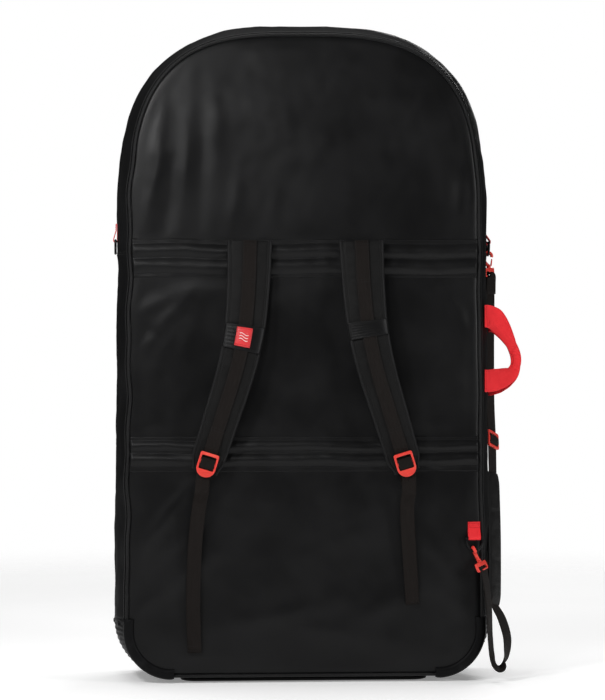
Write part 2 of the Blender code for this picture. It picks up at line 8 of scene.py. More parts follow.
import bmesh
import bpy
import numpy as np
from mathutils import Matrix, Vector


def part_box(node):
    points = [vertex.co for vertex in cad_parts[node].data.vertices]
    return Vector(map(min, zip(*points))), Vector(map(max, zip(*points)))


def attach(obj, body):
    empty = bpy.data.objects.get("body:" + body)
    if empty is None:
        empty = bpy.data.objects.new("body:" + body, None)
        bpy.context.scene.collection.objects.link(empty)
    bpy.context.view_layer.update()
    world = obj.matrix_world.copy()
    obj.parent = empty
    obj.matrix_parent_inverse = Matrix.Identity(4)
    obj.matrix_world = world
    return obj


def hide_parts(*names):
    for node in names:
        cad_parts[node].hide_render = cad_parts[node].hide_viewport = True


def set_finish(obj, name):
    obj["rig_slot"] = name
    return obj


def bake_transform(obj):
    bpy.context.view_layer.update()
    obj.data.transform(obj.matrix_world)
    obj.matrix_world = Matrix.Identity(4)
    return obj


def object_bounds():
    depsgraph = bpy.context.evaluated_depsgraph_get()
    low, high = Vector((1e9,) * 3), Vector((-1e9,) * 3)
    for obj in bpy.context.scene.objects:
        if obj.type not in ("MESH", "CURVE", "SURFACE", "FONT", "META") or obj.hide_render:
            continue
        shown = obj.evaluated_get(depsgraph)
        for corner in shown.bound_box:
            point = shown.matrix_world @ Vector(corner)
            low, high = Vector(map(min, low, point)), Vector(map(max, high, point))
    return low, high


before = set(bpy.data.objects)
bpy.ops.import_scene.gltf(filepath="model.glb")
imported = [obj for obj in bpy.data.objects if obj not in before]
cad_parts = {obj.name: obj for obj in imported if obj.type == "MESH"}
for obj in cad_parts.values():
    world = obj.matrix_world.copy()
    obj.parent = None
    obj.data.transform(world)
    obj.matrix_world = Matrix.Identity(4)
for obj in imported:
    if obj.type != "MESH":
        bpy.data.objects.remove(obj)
cad_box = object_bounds()

# Sizes in metres, the same as the frame's.
SEAM_BASE, CORNER, ARCH_START, ARCH_TOP, ARCH_POWER = 0.013, 0.080, 0.800, 1.147, 3.1
HALF_TOP, HALF_LOW = 0.309, 0.3155
SEAM_DEPTH, GUSSET_EDGE = 0.0955, 0.0920
BULGE, BULGE_POWER = 0.021, 2.5
GUSSET_FACE, GUSSET_WALL = 0.00125, 0.0018
HINGE_HEIGHT = 0.1165
BASE_TOP, COVER_FOOT = HINGE_HEIGHT - 0.002, HINGE_HEIGHT + 0.002
GUSSET_SEAM = 0.754
ZIP_LINE = 0.0441
TAPE_WIDTH = 0.0094
WEBBING = 0.0016
HARNESS_WEBBING, STRAP_WEBBING = 0.025, 0.038
PAD_THICKNESS = 0.013
BANDS = {"upper": (0.717, 0.786), "lower": (0.373, 0.437)}
BAND_BACK = 0.0972
TAG_WIDTH, TAG_HEIGHT = 0.028, 0.033
# Points of a mesh that are closer than this are one point.
MERGE_WITHIN = 2e-6
# Where a pad's two sewn channels lie across it: 0 is its middle line and 1 its edge.
SEWN_AT = 0.855
# The lists of folds give heights and widths that these scale.
FOLD_HEIGHT, FOLD_SPREAD = 0.62, 1.3


# ---------------------------------------------------------------- shapes

def unit(vectors):
    """Vectors divided by their lengths."""
    vectors = np.asarray(vectors, float)
    return vectors / np.linalg.norm(vectors, axis=-1, keepdims=True)


def smooth_path(points, per_span=8):
    """A Catmull-Rom curve: between two points, a cubic whose slopes are half the chords round them."""
    points = np.asarray(points, float)
    ends = np.vstack([2 * points[0] - points[1], points, 2 * points[-1] - points[-2]])
    t = np.linspace(0, 1, per_span, endpoint=False)[:, None]
    spans = []
    for p0, p1, p2, p3 in zip(ends, ends[1:], ends[2:], ends[3:]):
        blend = 3 * t**2 - 2 * t**3
        ease_in, ease_out = t**3 - 2 * t**2 + t, t**3 - t**2
        spans.append((1 - blend) * p1 + blend * p2 + ease_in * (p2 - p0) / 2 + ease_out * (p3 - p1) / 2)
    return np.vstack([*spans, points[-1:]])


def lengths(grid, axis):
    """Distance run along one axis of a grid, averaged over the other."""
    steps = np.linalg.norm(np.diff(grid, axis=axis), axis=-1).mean(axis=1 - axis)
    return np.concatenate([[0.0], np.cumsum(steps)])


def run_along(path):
    """Distance run along a polyline at each of its points."""
    return np.concatenate([[0.0], np.cumsum(np.linalg.norm(np.diff(path, axis=0), axis=1))])


def evenly(path, step):
    """Points every step along a polyline, with the parameter (a fractional index) of each."""
    run = run_along(path)
    count = max(2, int(round(run[-1] / step)) + 1)
    wanted = np.linspace(0, run[-1], count)
    place = np.interp(wanted, run, np.arange(len(path)))
    return np.column_stack([np.interp(wanted, run, path[:, k]) for k in range(3)]), place


def along_index(values, place):
    """Rows of an array read at fractional indices."""
    index = np.arange(len(values))
    return np.column_stack([np.interp(place, index, values[:, k]) for k in range(values.shape[1])])


class Shape:
    """Grids of points gathered into one mesh. UVs are metres (across, along) a grid's columns and rows."""

    def __init__(self):
        self.points, self.quads, self.uvs, self.count = [], [], [], 0

    def add(self, grid, uv=None):
        """Take in a grid of points, with its UVs or else the distances run across and along it."""
        rows, columns = grid.shape[:2]
        if uv is None:
            uv = np.stack(np.meshgrid(lengths(grid, 1), lengths(grid, 0)), axis=-1)
        index = np.arange(rows * columns).reshape(rows, columns) + self.count
        quads = np.stack([index[:-1, :-1], index[:-1, 1:], index[1:, 1:], index[1:, :-1]], axis=-1)
        self.points.append(grid.reshape(-1, 3))
        self.uvs.append(uv.reshape(-1, 2))
        self.quads.append(quads.reshape(-1, 4))
        self.count += rows * columns
        return self

    def make(self, name, material, slot, facing=None, wall=0.0):
        """The mesh object. A closed shape is turned outwards; an open one faces a way and gets a wall."""
        points, uvs, quads = np.vstack(self.points), np.vstack(self.uvs), np.vstack(self.quads)
        mesh = bpy.data.meshes.new(name)
        mesh.from_pydata(points.tolist(), [], quads.tolist())
        layer = mesh.uv_layers.new(name="UVMap")
        layer.data.foreach_set("uv", uvs[quads.reshape(-1)].astype(np.float32).reshape(-1))
        build = bmesh.new()
        build.from_mesh(mesh)
        bmesh.ops.remove_doubles(build, verts=build.verts, dist=MERGE_WITHIN)
        bmesh.ops.dissolve_degenerate(build, dist=1e-7, edges=build.edges)
        bmesh.ops.recalc_face_normals(build, faces=build.faces)
        if facing is not None:
            towards = facing(build) if callable(facing) else sum(
                face.normal.dot(facing) * face.calc_area() for face in build.faces)
            if towards < 0:
                bmesh.ops.reverse_faces(build, faces=build.faces)
        for face in build.faces:
            face.smooth = True
        build.to_mesh(mesh)
        build.free()
        mesh.materials.append(material)
        piece = bpy.data.objects.new(name, mesh)
        bpy.context.scene.collection.objects.link(piece)
        if wall:
            solidify = piece.modifiers.new("Wall", "SOLIDIFY")
            solidify.thickness = wall
            solidify.offset = -1.0
        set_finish(piece, slot)
        return piece


def away_from(point):
    """Facing test: the sum over faces of area times how far each one's normal points away from a point."""
    point = type(cad_box[0])(tuple(point))

    def measure(build):
        return sum(face.normal.dot(face.calc_center_median() - point) * face.calc_area()
                   for face in build.faces)
    return measure


from_middle = away_from((0.0, 0.0, (cad_box[1].z + cad_box[0].z) / 2))


def finished(shape, name, material, slot, body, replaced=(), **options):
    """A shape made into an object that rides on a body and stands for its nodes of the frame."""
    piece = shape.make(name, material, slot, **options)
    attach(piece, body)
    if replaced:
        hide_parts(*replaced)
    return piece


def frames(path, across):
    """Tangent, width direction made square to it, and the normal between them, at each point of a path."""
    along = unit(np.gradient(path, axis=0))
    across = np.broadcast_to(np.asarray(across, float), path.shape)
    across = unit(across - along * (across * along).sum(axis=1, keepdims=True))
    return along, across, np.cross(along, across)


def carried(path, across, profile, scale=1.0, caps=True):
    """A closed profile (sideways, outwards) carried along a path; caps close its ends on their middles."""
    _, side, out = frames(path, across)
    profile = np.asarray(profile, float)
    if profile.ndim == 2:
        profile = np.broadcast_to(profile, (len(path), *profile.shape))
    profile = profile * np.broadcast_to(np.asarray(scale, float).reshape(-1, 1, 1), (len(path), 1, 1))
    rings = path[:, None] + side[:, None] * profile[..., :1] + out[:, None] * profile[..., 1:]
    if caps:
        first = np.broadcast_to(rings[:1, :-1].mean(axis=1, keepdims=True), rings[:1].shape)
        last = np.broadcast_to(rings[-1:, :-1].mean(axis=1, keepdims=True), rings[-1:].shape)
        rings = np.concatenate([first, rings, last])
    return rings


def squared_off(wave, power):
    """A sine or cosine with its size raised to a power and its sign kept: below 1, an oval grows squarer."""
    return np.sign(wave) * np.abs(wave) ** power


def oval(width, height, steps=16, power=1.0):
    """A closed superellipse: cos and sin raised to a power, 1 for an ellipse, less for a squarer bar."""
    angle = np.linspace(0, 2 * math.pi, steps + 1)
    cos, sin = np.cos(angle), np.sin(angle)
    shape = np.column_stack([squared_off(cos, power) * width / 2,
                             squared_off(sin, power) * height / 2])
    shape[-1] = shape[0]
    return shape


def closed_loop(path, plane_normal, profile):
    """A profile carried round a closed path in one plane; the path's first point isn't repeated."""
    path = np.asarray(path, float)
    tangent = unit(np.roll(path, -1, axis=0) - np.roll(path, 1, axis=0))
    out = np.broadcast_to(unit(plane_normal), path.shape)
    side = np.cross(tangent, out)
    profile = np.asarray(profile, float)
    rings = path[:, None] + side[:, None] * profile[:, :1] + out[:, None] * profile[:, 1:]
    return np.concatenate([rings, rings[:1]])


def rounded(width, height, radius, steps=5):
    """A rectangle with rounded corners as a list of (x, y), counter-clockwise."""
    corners = ((1, 1, 0), (-1, 1, 1), (-1, -1, 2), (1, -1, 3))
    angle = np.linspace(0, math.pi / 2, steps)
    return np.vstack([
        np.column_stack([
            side * (width / 2 - radius) + radius * np.cos(angle + turn * math.pi / 2),
            end * (height / 2 - radius) + radius * np.sin(angle + turn * math.pi / 2),
        ]) for side, end, turn in corners])


def ribbon_shape(path, across, width, thickness=WEBBING, sag=None):
    """Webbing: a flat bar with round edges carried along a path; its width may vary along it."""
    half = np.broadcast_to(np.asarray(width, float), len(path)) / 2
    angle = np.linspace(0, 2 * math.pi, 21)
    cos, sin = np.cos(angle), np.sin(angle)
    flat_x = squared_off(cos, 0.35)
    flat_y = squared_off(sin, 0.5) * thickness / 2
    profile = np.stack([half[:, None] * flat_x, np.broadcast_to(flat_y, (len(path), 21))], axis=-1)
    if sag is not None:
        profile[..., 1] += np.asarray(sag)[:, None] * (1 - flat_x**2)
    profile[:, -1] = profile[:, 0]
    return carried(path, across, profile)


# ---------------------------------------------------------------- the bag's outline

def seam_side(height):
    """Half width of the seam line on the straight sides, which widen a little downwards."""
    low = SEAM_BASE + CORNER
    return HALF_LOW + (HALF_TOP - HALF_LOW) * (height - low) / (ARCH_START - low)


def seam_half(low, high, corner_steps=14, side_step=0.008, arch_steps=70):
    """The seam line (x, z) on the +X side between two heights: arc, straight side, superellipse arch."""
    angle = np.linspace(-math.pi / 2, 0, corner_steps)
    corner = np.column_stack([HALF_LOW - CORNER + CORNER * np.cos(angle),
                              SEAM_BASE + CORNER + CORNER * np.sin(angle)])
    heights = np.arange(SEAM_BASE + CORNER + side_step, ARCH_START, side_step)
    side = np.column_stack([seam_side(heights), heights])
    turn = np.linspace(0, math.pi / 2, arch_steps)
    arch = np.column_stack([HALF_TOP * np.cos(turn).clip(0) ** (2 / ARCH_POWER),
                            ARCH_START + (ARCH_TOP - ARCH_START) * np.sin(turn) ** (2 / ARCH_POWER)])
    arch[-1, 0] = 0.0
    line = np.vstack([corner, side, arch])
    ends = [(np.interp(stop, line[:, 1], line[:, 0]), stop) for stop in (low, high)]
    inside = (line[:, 1] > low + 1e-4) & (line[:, 1] < high - 1e-4)
    first = [line[0]] if low <= SEAM_BASE else [ends[0]]
    last = [line[-1]] if high >= ARCH_TOP else [ends[1]]
    return np.vstack([first, line[inside], last])


def outward(points):
    """Normals of an open (x, z) line that runs with the bag on its left."""
    tangent = unit(np.gradient(points, axis=0))
    return np.column_stack([tangent[:, 1], -tangent[:, 0]])


def seam_above(height):
    """Seam line and normals from the +X side at a height, over the arch, to the -X side."""
    half = seam_half(height, ARCH_TOP)
    points = np.vstack([half, half[-2::-1] * (-1, 1)])
    return points, outward(points)


def seam_whole():
    """The closed seam line from the middle of the base round the +X side and back."""
    half = np.vstack([np.column_stack([np.linspace(0, HALF_LOW - CORNER, 25)[:-1], np.full(24, SEAM_BASE)]),
                      seam_half(SEAM_BASE, ARCH_TOP)])
    return np.vstack([half, half[-2:0:-1] * (-1, 1)])


def swell(height):
    """How much of the gusset's bulge is left near the base."""
    rise = np.clip(height / 0.13, 0, 1)
    return 0.25 + 0.75 * rise**2 * (3 - 2 * rise)


def gusset_out(depth, height):
    """How far the gusset's middle surface stands outside the seam line."""
    return BULGE * swell(height) * (1 - np.abs(depth / GUSSET_EDGE) ** BULGE_POWER)


def on_strip(course, depths, lift):
    """Points over a course of the seam line at the given depths, lifted off the gusset's surface."""
    points, normals = course
    out = gusset_out(depths[None, :], points[:, 1][:, None]) + lift
    x = points[:, 0][:, None] + normals[:, 0][:, None] * out
    z = points[:, 1][:, None] + normals[:, 1][:, None] * out
    return np.stack([x, np.broadcast_to(depths, x.shape), z], axis=-1)


def gusset_x(depth, height):
    """Where the gusset's outer face stands on the +X side."""
    return seam_side(height) + gusset_out(depth, height) + GUSSET_FACE


def gusset_line(course, depth, lift):
    """A course of the seam line at one depth, lifted off the gusset's middle surface."""
    points, normals = course
    out = gusset_out(depth, points[:, 1]) + lift
    return np.column_stack([points[:, 0] + normals[:, 0] * out, np.full(len(points), depth),
                            points[:, 1] + normals[:, 1] * out])


def tugged(points):
    """The harness-side seam wanders in and out of its line, most on the -X side, by a sum of slow waves."""
    x, y, z = points[..., 0], points[..., 1], points[..., 2]
    left = 0.0015 * np.sin(z * 27.0 + 0.6) + 0.0013 * np.sin(z * 61.0 + 2.1)
    right = 0.0007 * np.sin(z * 23.0 + 1.9) + 0.0005 * np.sin(z * 52.0)
    near = soft_step(np.abs(x), 0.22, 0.31) * soft_step(-y, 0.0, 0.085)
    held = soft_step(z, 0.14, 0.24) * soft_step(-z, -1.04, -0.90)
    moved = points.copy()
    moved[..., 0] = x + np.where(x < 0, left, right) * near * held
    return moved


def soft_step(value, start, end):
    """0 before start, 1 after end, and a smooth cubic between."""
    t = np.clip((value - start) / (end - start), 0, 1)
    return t * t * (3 - 2 * t)


def ripples(u, v, seed, shortest, longest, count=26):
    """Slow unevenness of cloth: a seeded sum of sine waves of many directions, about -1 to 1."""
    draw = np.random.RandomState(seed)
    total = np.zeros(np.broadcast(u, v).shape)
    for _ in range(count):
        wave = longest * (shortest / longest) ** draw.rand()
        angle, phase = draw.rand() * math.pi, draw.rand() * 2 * math.pi
        total += np.sin(2 * math.pi * (u * math.cos(angle) + v * math.sin(angle)) / wave + phase)
    return total / math.sqrt(count)


def creases(x, z, list_of_folds):
    """Soft folds: each is a ridge (or a hollow) that is Gaussian across and along its own direction."""
    total = np.zeros(x.shape)
    for cx, cz, degrees, length, width, height in list_of_folds:
        angle = math.radians(degrees)
        run = (x - cx) * math.cos(angle) + (z - cz) * math.sin(angle)
        off = -(x - cx) * math.sin(angle) + (z - cz) * math.cos(angle)
        total += FOLD_HEIGHT * height * np.exp(-(off / width / FOLD_SPREAD) ** 2 - (run / length) ** 2)
    return total


# ---------------------------------------------------------------- finishes

class Value:
    """A shader socket that takes part in arithmetic: each operation adds a Math node."""

    def __init__(self, graph, socket):
        self.graph, self.socket = graph, socket

    def math(self, operation, *others):
        """A Math node on this value and the others."""
        return self.graph.node("ShaderNodeMath", {"operation": operation}, dict(enumerate((self, *others))))

    def __add__(self, other):
        return self.math("ADD", other)

    def __sub__(self, other):
        return self.math("SUBTRACT", other)

    def __rsub__(self, other):
        return self * -1.0 + other

    def __mul__(self, other):
        return self.math("MULTIPLY", other)

    def __truediv__(self, other):
        return self.math("DIVIDE", other)

    def __mod__(self, other):
        return self.math("FLOORED_MODULO", other)

    __radd__, __rmul__ = __add__, __mul__


class Graph:
    """A Principled material whose constant values are set on the shader and whose patterns are nodes."""

    def __init__(self, name, colour, roughness, **constants):
        self.material = bpy.data.materials.new(name)
        self.material.use_nodes = True
        self.tree = self.material.node_tree
        self.shader = self.tree.nodes["Principled BSDF"]
        self.shader.inputs["Base Color"].default_value = (*colour, 1.0)
        self.shader.inputs["Roughness"].default_value = roughness
        for words, value in constants.items():
            self.shader.inputs[words.replace("_", " ").title().replace("Ior", "IOR")].default_value = value
        self.colour = colour

    def node(self, kind, settings=None, inputs=None, output=0):
        """A new node: its settings first, then a value or a link for each input, and one of its outputs."""
        made = self.tree.nodes.new(kind)
        for key, value in (settings or {}).items():
            setattr(made, key, value)
        for key, value in (inputs or {}).items():
            if isinstance(value, Value):
                self.tree.links.new(value.socket, made.inputs[key])
            else:
                made.inputs[key].default_value = value
        return Value(self, made.outputs[output])

    def place(self, which="UV"):
        """The (x, y, z) values of the UV map, in metres, or of Object coordinates."""
        vector = self.node("ShaderNodeTexCoord", output=which)
        split = self.node("ShaderNodeSeparateXYZ", None, {"Vector": vector})
        outputs = split.socket.node.outputs
        return vector, Value(self, outputs[0]), Value(self, outputs[1]), Value(self, outputs[2])

    def noise(self, vector, scale, detail=2.0):
        """Soft noise with about scale swells to a metre."""
        return self.node("ShaderNodeTexNoise", None, {"Vector": vector, "Scale": scale, "Detail": detail})

    def band(self, value, low, high, to_low=0.0, to_high=1.0):
        """Value mapped from one range to another and clamped."""
        inputs = {"Value": value, 1: low, 2: high, 3: to_low, 4: to_high}
        return self.node("ShaderNodeMapRange", {"interpolation_type": "SMOOTHSTEP"}, inputs)

    def paint(self, mask, other):
        """Base colour: the material's own colour where mask is 0, and the other where it is 1."""
        colours = {0: mask, 6: self.base(), 7: (*other, 1.0)}
        mixed = self.node("ShaderNodeMix", {"data_type": "RGBA"}, colours, 2)
        self.tree.links.new(mixed.socket, self.shader.inputs["Base Color"])

    def base(self):
        """What feeds Base Color: the colour painted so far, or the material's own."""
        links = self.shader.inputs["Base Color"].links
        return Value(self, links[0].from_socket) if links else (*self.colour, 1.0)

    def rough(self, value):
        """Roughness that changes over the surface."""
        self.tree.links.new(value.socket, self.shader.inputs["Roughness"])

    def bump(self, height, distance):
        """Relief shaded from a height, which stands up by the distance where the height is 1."""
        made = self.node("ShaderNodeBump", None, {"Height": height, "Distance": distance, "Strength": 1.0})
        self.tree.links.new(made.socket, self.shader.inputs["Normal"])


def woven(name, colour, lighter, roughness, pitch, which="UV", bump=0.00009, **constants):
    """Plain-weave cloth: warp threads show on half of a chequer and weft threads on the other half."""
    graph = Graph(name, colour, roughness, **constants)
    vector, x, y, z = graph.place(which)
    u, v = x / pitch, (y if which == "UV" else z) / pitch
    over = (u.math("FLOOR") + v.math("FLOOR")) % 2.0
    warp = (u * math.pi).math("SINE").math("ABSOLUTE")
    weft = (v * math.pi).math("SINE").math("ABSOLUTE")
    thread = over * warp + (1.0 - over) * weft
    cloud = graph.noise(vector, 9.0, 3.0)
    slub = graph.noise(vector, 420.0, 1.0)
    graph.paint(graph.band(cloud * 0.75 + slub * 0.25, 0.35, 0.68), lighter)
    graph.rough(graph.band(cloud, 0.3, 0.7, roughness - 0.03, roughness + 0.06))
    graph.bump(thread * 0.8 + slub * 0.6 + cloud * 0.5, bump)
    return graph.material


def strapping(name, colour, lighter, roughness, width, pitch=0.0019, **constants):
    """Webbing: chevrons of ribs that meet on its middle line, fine cords along it and paler worn patches."""
    graph = Graph(name, colour, roughness, **constants)
    vector, x, y, _ = graph.place()
    across = ((x / width) % 1.0 - 0.5).math("ABSOLUTE")
    rib = ((y + across * width * 0.9) * (2 * math.pi / pitch)).math("SINE")
    cord = (across * (2 * math.pi * 9)).math("SINE")
    wear = graph.noise(vector, 60.0, 3.0)
    graph.paint(graph.band(wear * 0.6 + rib * 0.2, 0.2, 0.6), lighter)
    graph.bump(rib * 0.5 + cord * 0.3 + wear * 0.3, 0.00035)
    return graph.material


def moulded(name, colour, lighter, roughness, grain, depth, **constants):
    """Moulded plastic or rubber: fine pebble grain, with scuffs that are paler and rougher."""
    graph = Graph(name, colour, roughness, **constants)
    vector, *_ = graph.place("Object")
    pebble = graph.node("ShaderNodeTexVoronoi", {"feature": "SMOOTH_F1"}, {"Vector": vector, "Scale": grain})
    scuff = graph.noise(vector, 38.0, 5.0)
    graph.paint(graph.band(scuff, 0.52, 0.72), lighter)
    graph.rough(graph.band(scuff, 0.3, 0.75, roughness - 0.06, roughness + 0.14))
    graph.bump(pebble + scuff * 0.3, depth)
    return graph.material


SATIN = {"sheen_weight": 0.01, "sheen_roughness": 0.35, "specular_ior_level": 0.15}
CANVAS = woven("black_canvas", (0.0046, 0.0046, 0.0048), (0.0072, 0.0072, 0.0075), 0.350, 0.00095,
               bump=0.00003, **SATIN)
GUSSET_CLOTH = woven("gusset_canvas", (0.0050, 0.0050, 0.0052), (0.0078, 0.0078, 0.0081), 0.52, 0.00095,
                     bump=0.00002, sheen_weight=0.0, specular_ior_level=0.035)
BAND_CLOTH = woven("band_nylon", (0.0050, 0.0050, 0.0052), (0.0078, 0.0078, 0.0081), 0.37, 0.0007,
                   bump=0.00003, **SATIN)
PAD_CLOTH = woven("pad_nylon", (0.0050, 0.0049, 0.0049), (0.0078, 0.0077, 0.0076), 0.55, 0.0008, bump=0.00009,
                  sheen_weight=0.01, specular_ior_level=0.10)
BINDING = woven("binding", (0.0078, 0.0078, 0.0080), (0.0120, 0.0120, 0.0124), 0.42, 0.0006, bump=0.00012,
                sheen_weight=0.01, specular_ior_level=0.12)
LINING = woven("lining_cloth", (0.030, 0.031, 0.033), (0.042, 0.043, 0.045), 0.62, 0.0006, "Object",
               bump=0.0001)
BLACK_STRAP = strapping("black_webbing", (0.0074, 0.0056, 0.0048), (0.0115, 0.0090, 0.0080), 0.68, 0.058,
                        sheen_weight=0.01, specular_ior_level=0.10)
RED_STRAP = strapping("red_webbing", (0.780, 0.0180, 0.0250), (0.880, 0.0340, 0.0400), 0.60, 0.086,
                      sheen_weight=0.02, sheen_roughness=0.5, specular_ior_level=0.20)
RED_PLASTIC = moulded("red_acetal", (0.72, 0.050, 0.036), (0.80, 0.085, 0.060), 0.36, 2600.0, 0.00003,
                      specular_ior_level=0.30)
GUARD_PLASTIC = moulded("guard_polyethylene", (0.0052, 0.0052, 0.0055), (0.0092, 0.0092, 0.0096), 0.46, 900.0,
                        0.00012, specular_ior_level=0.06)
RUBBER = moulded("pull_rubber", (0.006, 0.006, 0.006), (0.010, 0.010, 0.010), 0.52, 1500.0, 0.00005,
                 specular_ior_level=0.15)
RING_METAL = moulded("black_steel", (0.016, 0.016, 0.0165), (0.034, 0.034, 0.035), 0.34, 3000.0, 0.00001,
                     metallic=1.0)
FOAM = moulded("foam", (0.13, 0.13, 0.14), (0.19, 0.19, 0.20), 0.90, 700.0, 0.0003)
ZIP_TAPE = woven("zip_tape_cloth", (0.006, 0.006, 0.0062), (0.009, 0.009, 0.0094), 0.58, 0.0007, bump=0.00012,
                 specular_ior_level=0.12)
COIL = moulded("zip_coil", (0.008, 0.008, 0.0084), (0.014, 0.014, 0.0145), 0.34, 2500.0, 0.00002,
               specular_ior_level=0.20)
THREAD = moulded("thread", (0.0098, 0.0098, 0.0102), (0.0150, 0.0150, 0.0155), 0.50, 3000.0, 0.00004,
                 specular_ior_level=0.16)
THREAD_RED = moulded("thread_red", (0.44, 0.014, 0.018), (0.56, 0.028, 0.030), 0.55, 3000.0, 0.00004,
                     specular_ior_level=0.20)


def label_finish():
    """The strap tag: plain red with three pale wavy lines inside a plain margin, by its own UV."""
    graph = Graph("label_face", (0.62, 0.030, 0.034), 0.42)
    vector, x, y, _ = graph.place()
    u, v = x / TAG_WIDTH - 0.5, y / TAG_HEIGHT - 0.5
    wave = (v + (u * 9.0).math("SINE") * 0.055) * 7.0
    stripe = graph.band((wave % 1.0 - 0.5).math("ABSOLUTE"), 0.34, 0.42)
    inside = graph.band(u.math("ABSOLUTE"), 0.30, 0.26) * graph.band(v.math("ABSOLUTE"), 0.23, 0.20)
    graph.paint(stripe * inside, (0.80, 0.74, 0.72))
    graph.bump(stripe * inside + graph.noise(vector, 900.0) * 0.2, 0.00025)
    return graph.material


LABEL = label_finish()


# ---------------------------------------------------------------- stitching

def stitched(name, rows, body, material=None, pitch=0.0042, long=0.0031, thick=0.0009):
    """Stitches along each (path, normals) row: fourteen-point spindles laid end to end with a gap between."""
    angle = np.linspace(0, 2 * math.pi, 6, endpoint=False)
    ring = np.column_stack([np.cos(angle), np.sin(angle)])
    spindle = np.zeros((14, 3))
    spindle[0, 0], spindle[13, 0] = -0.5, 0.5
    spindle[1:7] = np.column_stack([np.full(6, -0.3), ring])
    spindle[7:13] = np.column_stack([np.full(6, 0.3), ring])
    a, b = np.arange(6), (np.arange(6) + 1) % 6
    quads = np.vstack([
        np.column_stack([np.zeros(6, int), 1 + b, 1 + a, 1 + a]),
        np.column_stack([1 + a, 1 + b, 7 + b, 7 + a]),
        np.column_stack([np.full(6, 13), 7 + a, 7 + b, 7 + b]),
    ])
    points = []
    for path, normals in rows:
        path = np.asarray(path, float)
        places, index = evenly(path, pitch)
        along = unit(np.gradient(places, axis=0))
        up = unit(along_index(np.broadcast_to(np.asarray(normals, float), path.shape), index))
        side = np.cross(along, up)
        points.append((
            places[:, None] + along[:, None] * spindle[:, :1] * long
            + side[:, None] * spindle[:, 1:2] * thick / 2 + up[:, None] * spindle[:, 2:] * thick / 3
        ).reshape(-1, 3))
    points = np.vstack(points)
    every = (quads[None] + 14 * np.arange(len(points) // 14)[:, None, None]).reshape(-1, 4)
    mesh = bpy.data.meshes.new(name)
    corners = [tuple(dict.fromkeys(face)) for face in every.tolist()]
    mesh.from_pydata(points.tolist(), [], corners)
    mesh.shade_smooth()
    mesh.materials.append(material or THREAD)
    piece = bpy.data.objects.new(name, mesh)
    bpy.context.scene.collection.objects.link(piece)
    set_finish(piece, "red_webbing" if material is THREAD_RED else "black_webbing")
    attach(piece, body)


# ---------------------------------------------------------------- the bag's shell

def to_outline(x, z, line):
    """Distance from each point to a polyline."""
    a, b = line[:-1], line[1:]
    step = b - a
    square = (step**2).sum(axis=1).clip(1e-12)
    best = np.full(x.shape, 1e9)
    for start, run, size in zip(a, step, square):
        t = np.clip(((x - start[0]) * run[0] + (z - start[1]) * run[1]) / size, 0, 1)
        best = np.minimum(best, np.hypot(x - start[0] - t * run[0], z - start[1] - t * run[1]))
    return best


def panel_grid(low, high, inset, columns=169):
    """Rows (x, z) that fill the seam line's outline between two heights, closer together near its sides."""
    half = seam_half(low, high)
    half = half - outward(half) * inset
    half[:, 0] = half[:, 0].clip(0)
    if high >= ARCH_TOP:
        half[-1, 0] = 0.0
    spread = np.sin(np.linspace(-1, 1, columns) * math.pi / 2)
    x = half[:, :1] * spread
    z = np.broadcast_to(half[:, 1:], x.shape)
    line = np.vstack([half, half[::-1] * (-1, 1), half[:1]])
    return x, z, to_outline(x, z, line)


def add_panel(name, side, low, high, relief, body, nodes, face=0.0945, inset=0.0035, wall=0.0012):
    """A panel of the bag: it stands proud of its piping by a rounded rim and carries its own folds."""
    x, z, edge = panel_grid(low, high, inset)
    rim = 0.0030 * (1 - (1 - np.clip(edge / 0.012, 0, 1)) ** 2) ** 0.5
    depth = face + rim + relief(x, z) * soft_step(edge, 0.004, 0.030)
    grid = tugged(np.stack([x, side * depth, z], axis=-1))
    finished(Shape().add(grid, np.stack([x, z], axis=-1)), name, CANVAS, "black_fabric", body, nodes,
             facing=(0, side, 0), wall=wall)


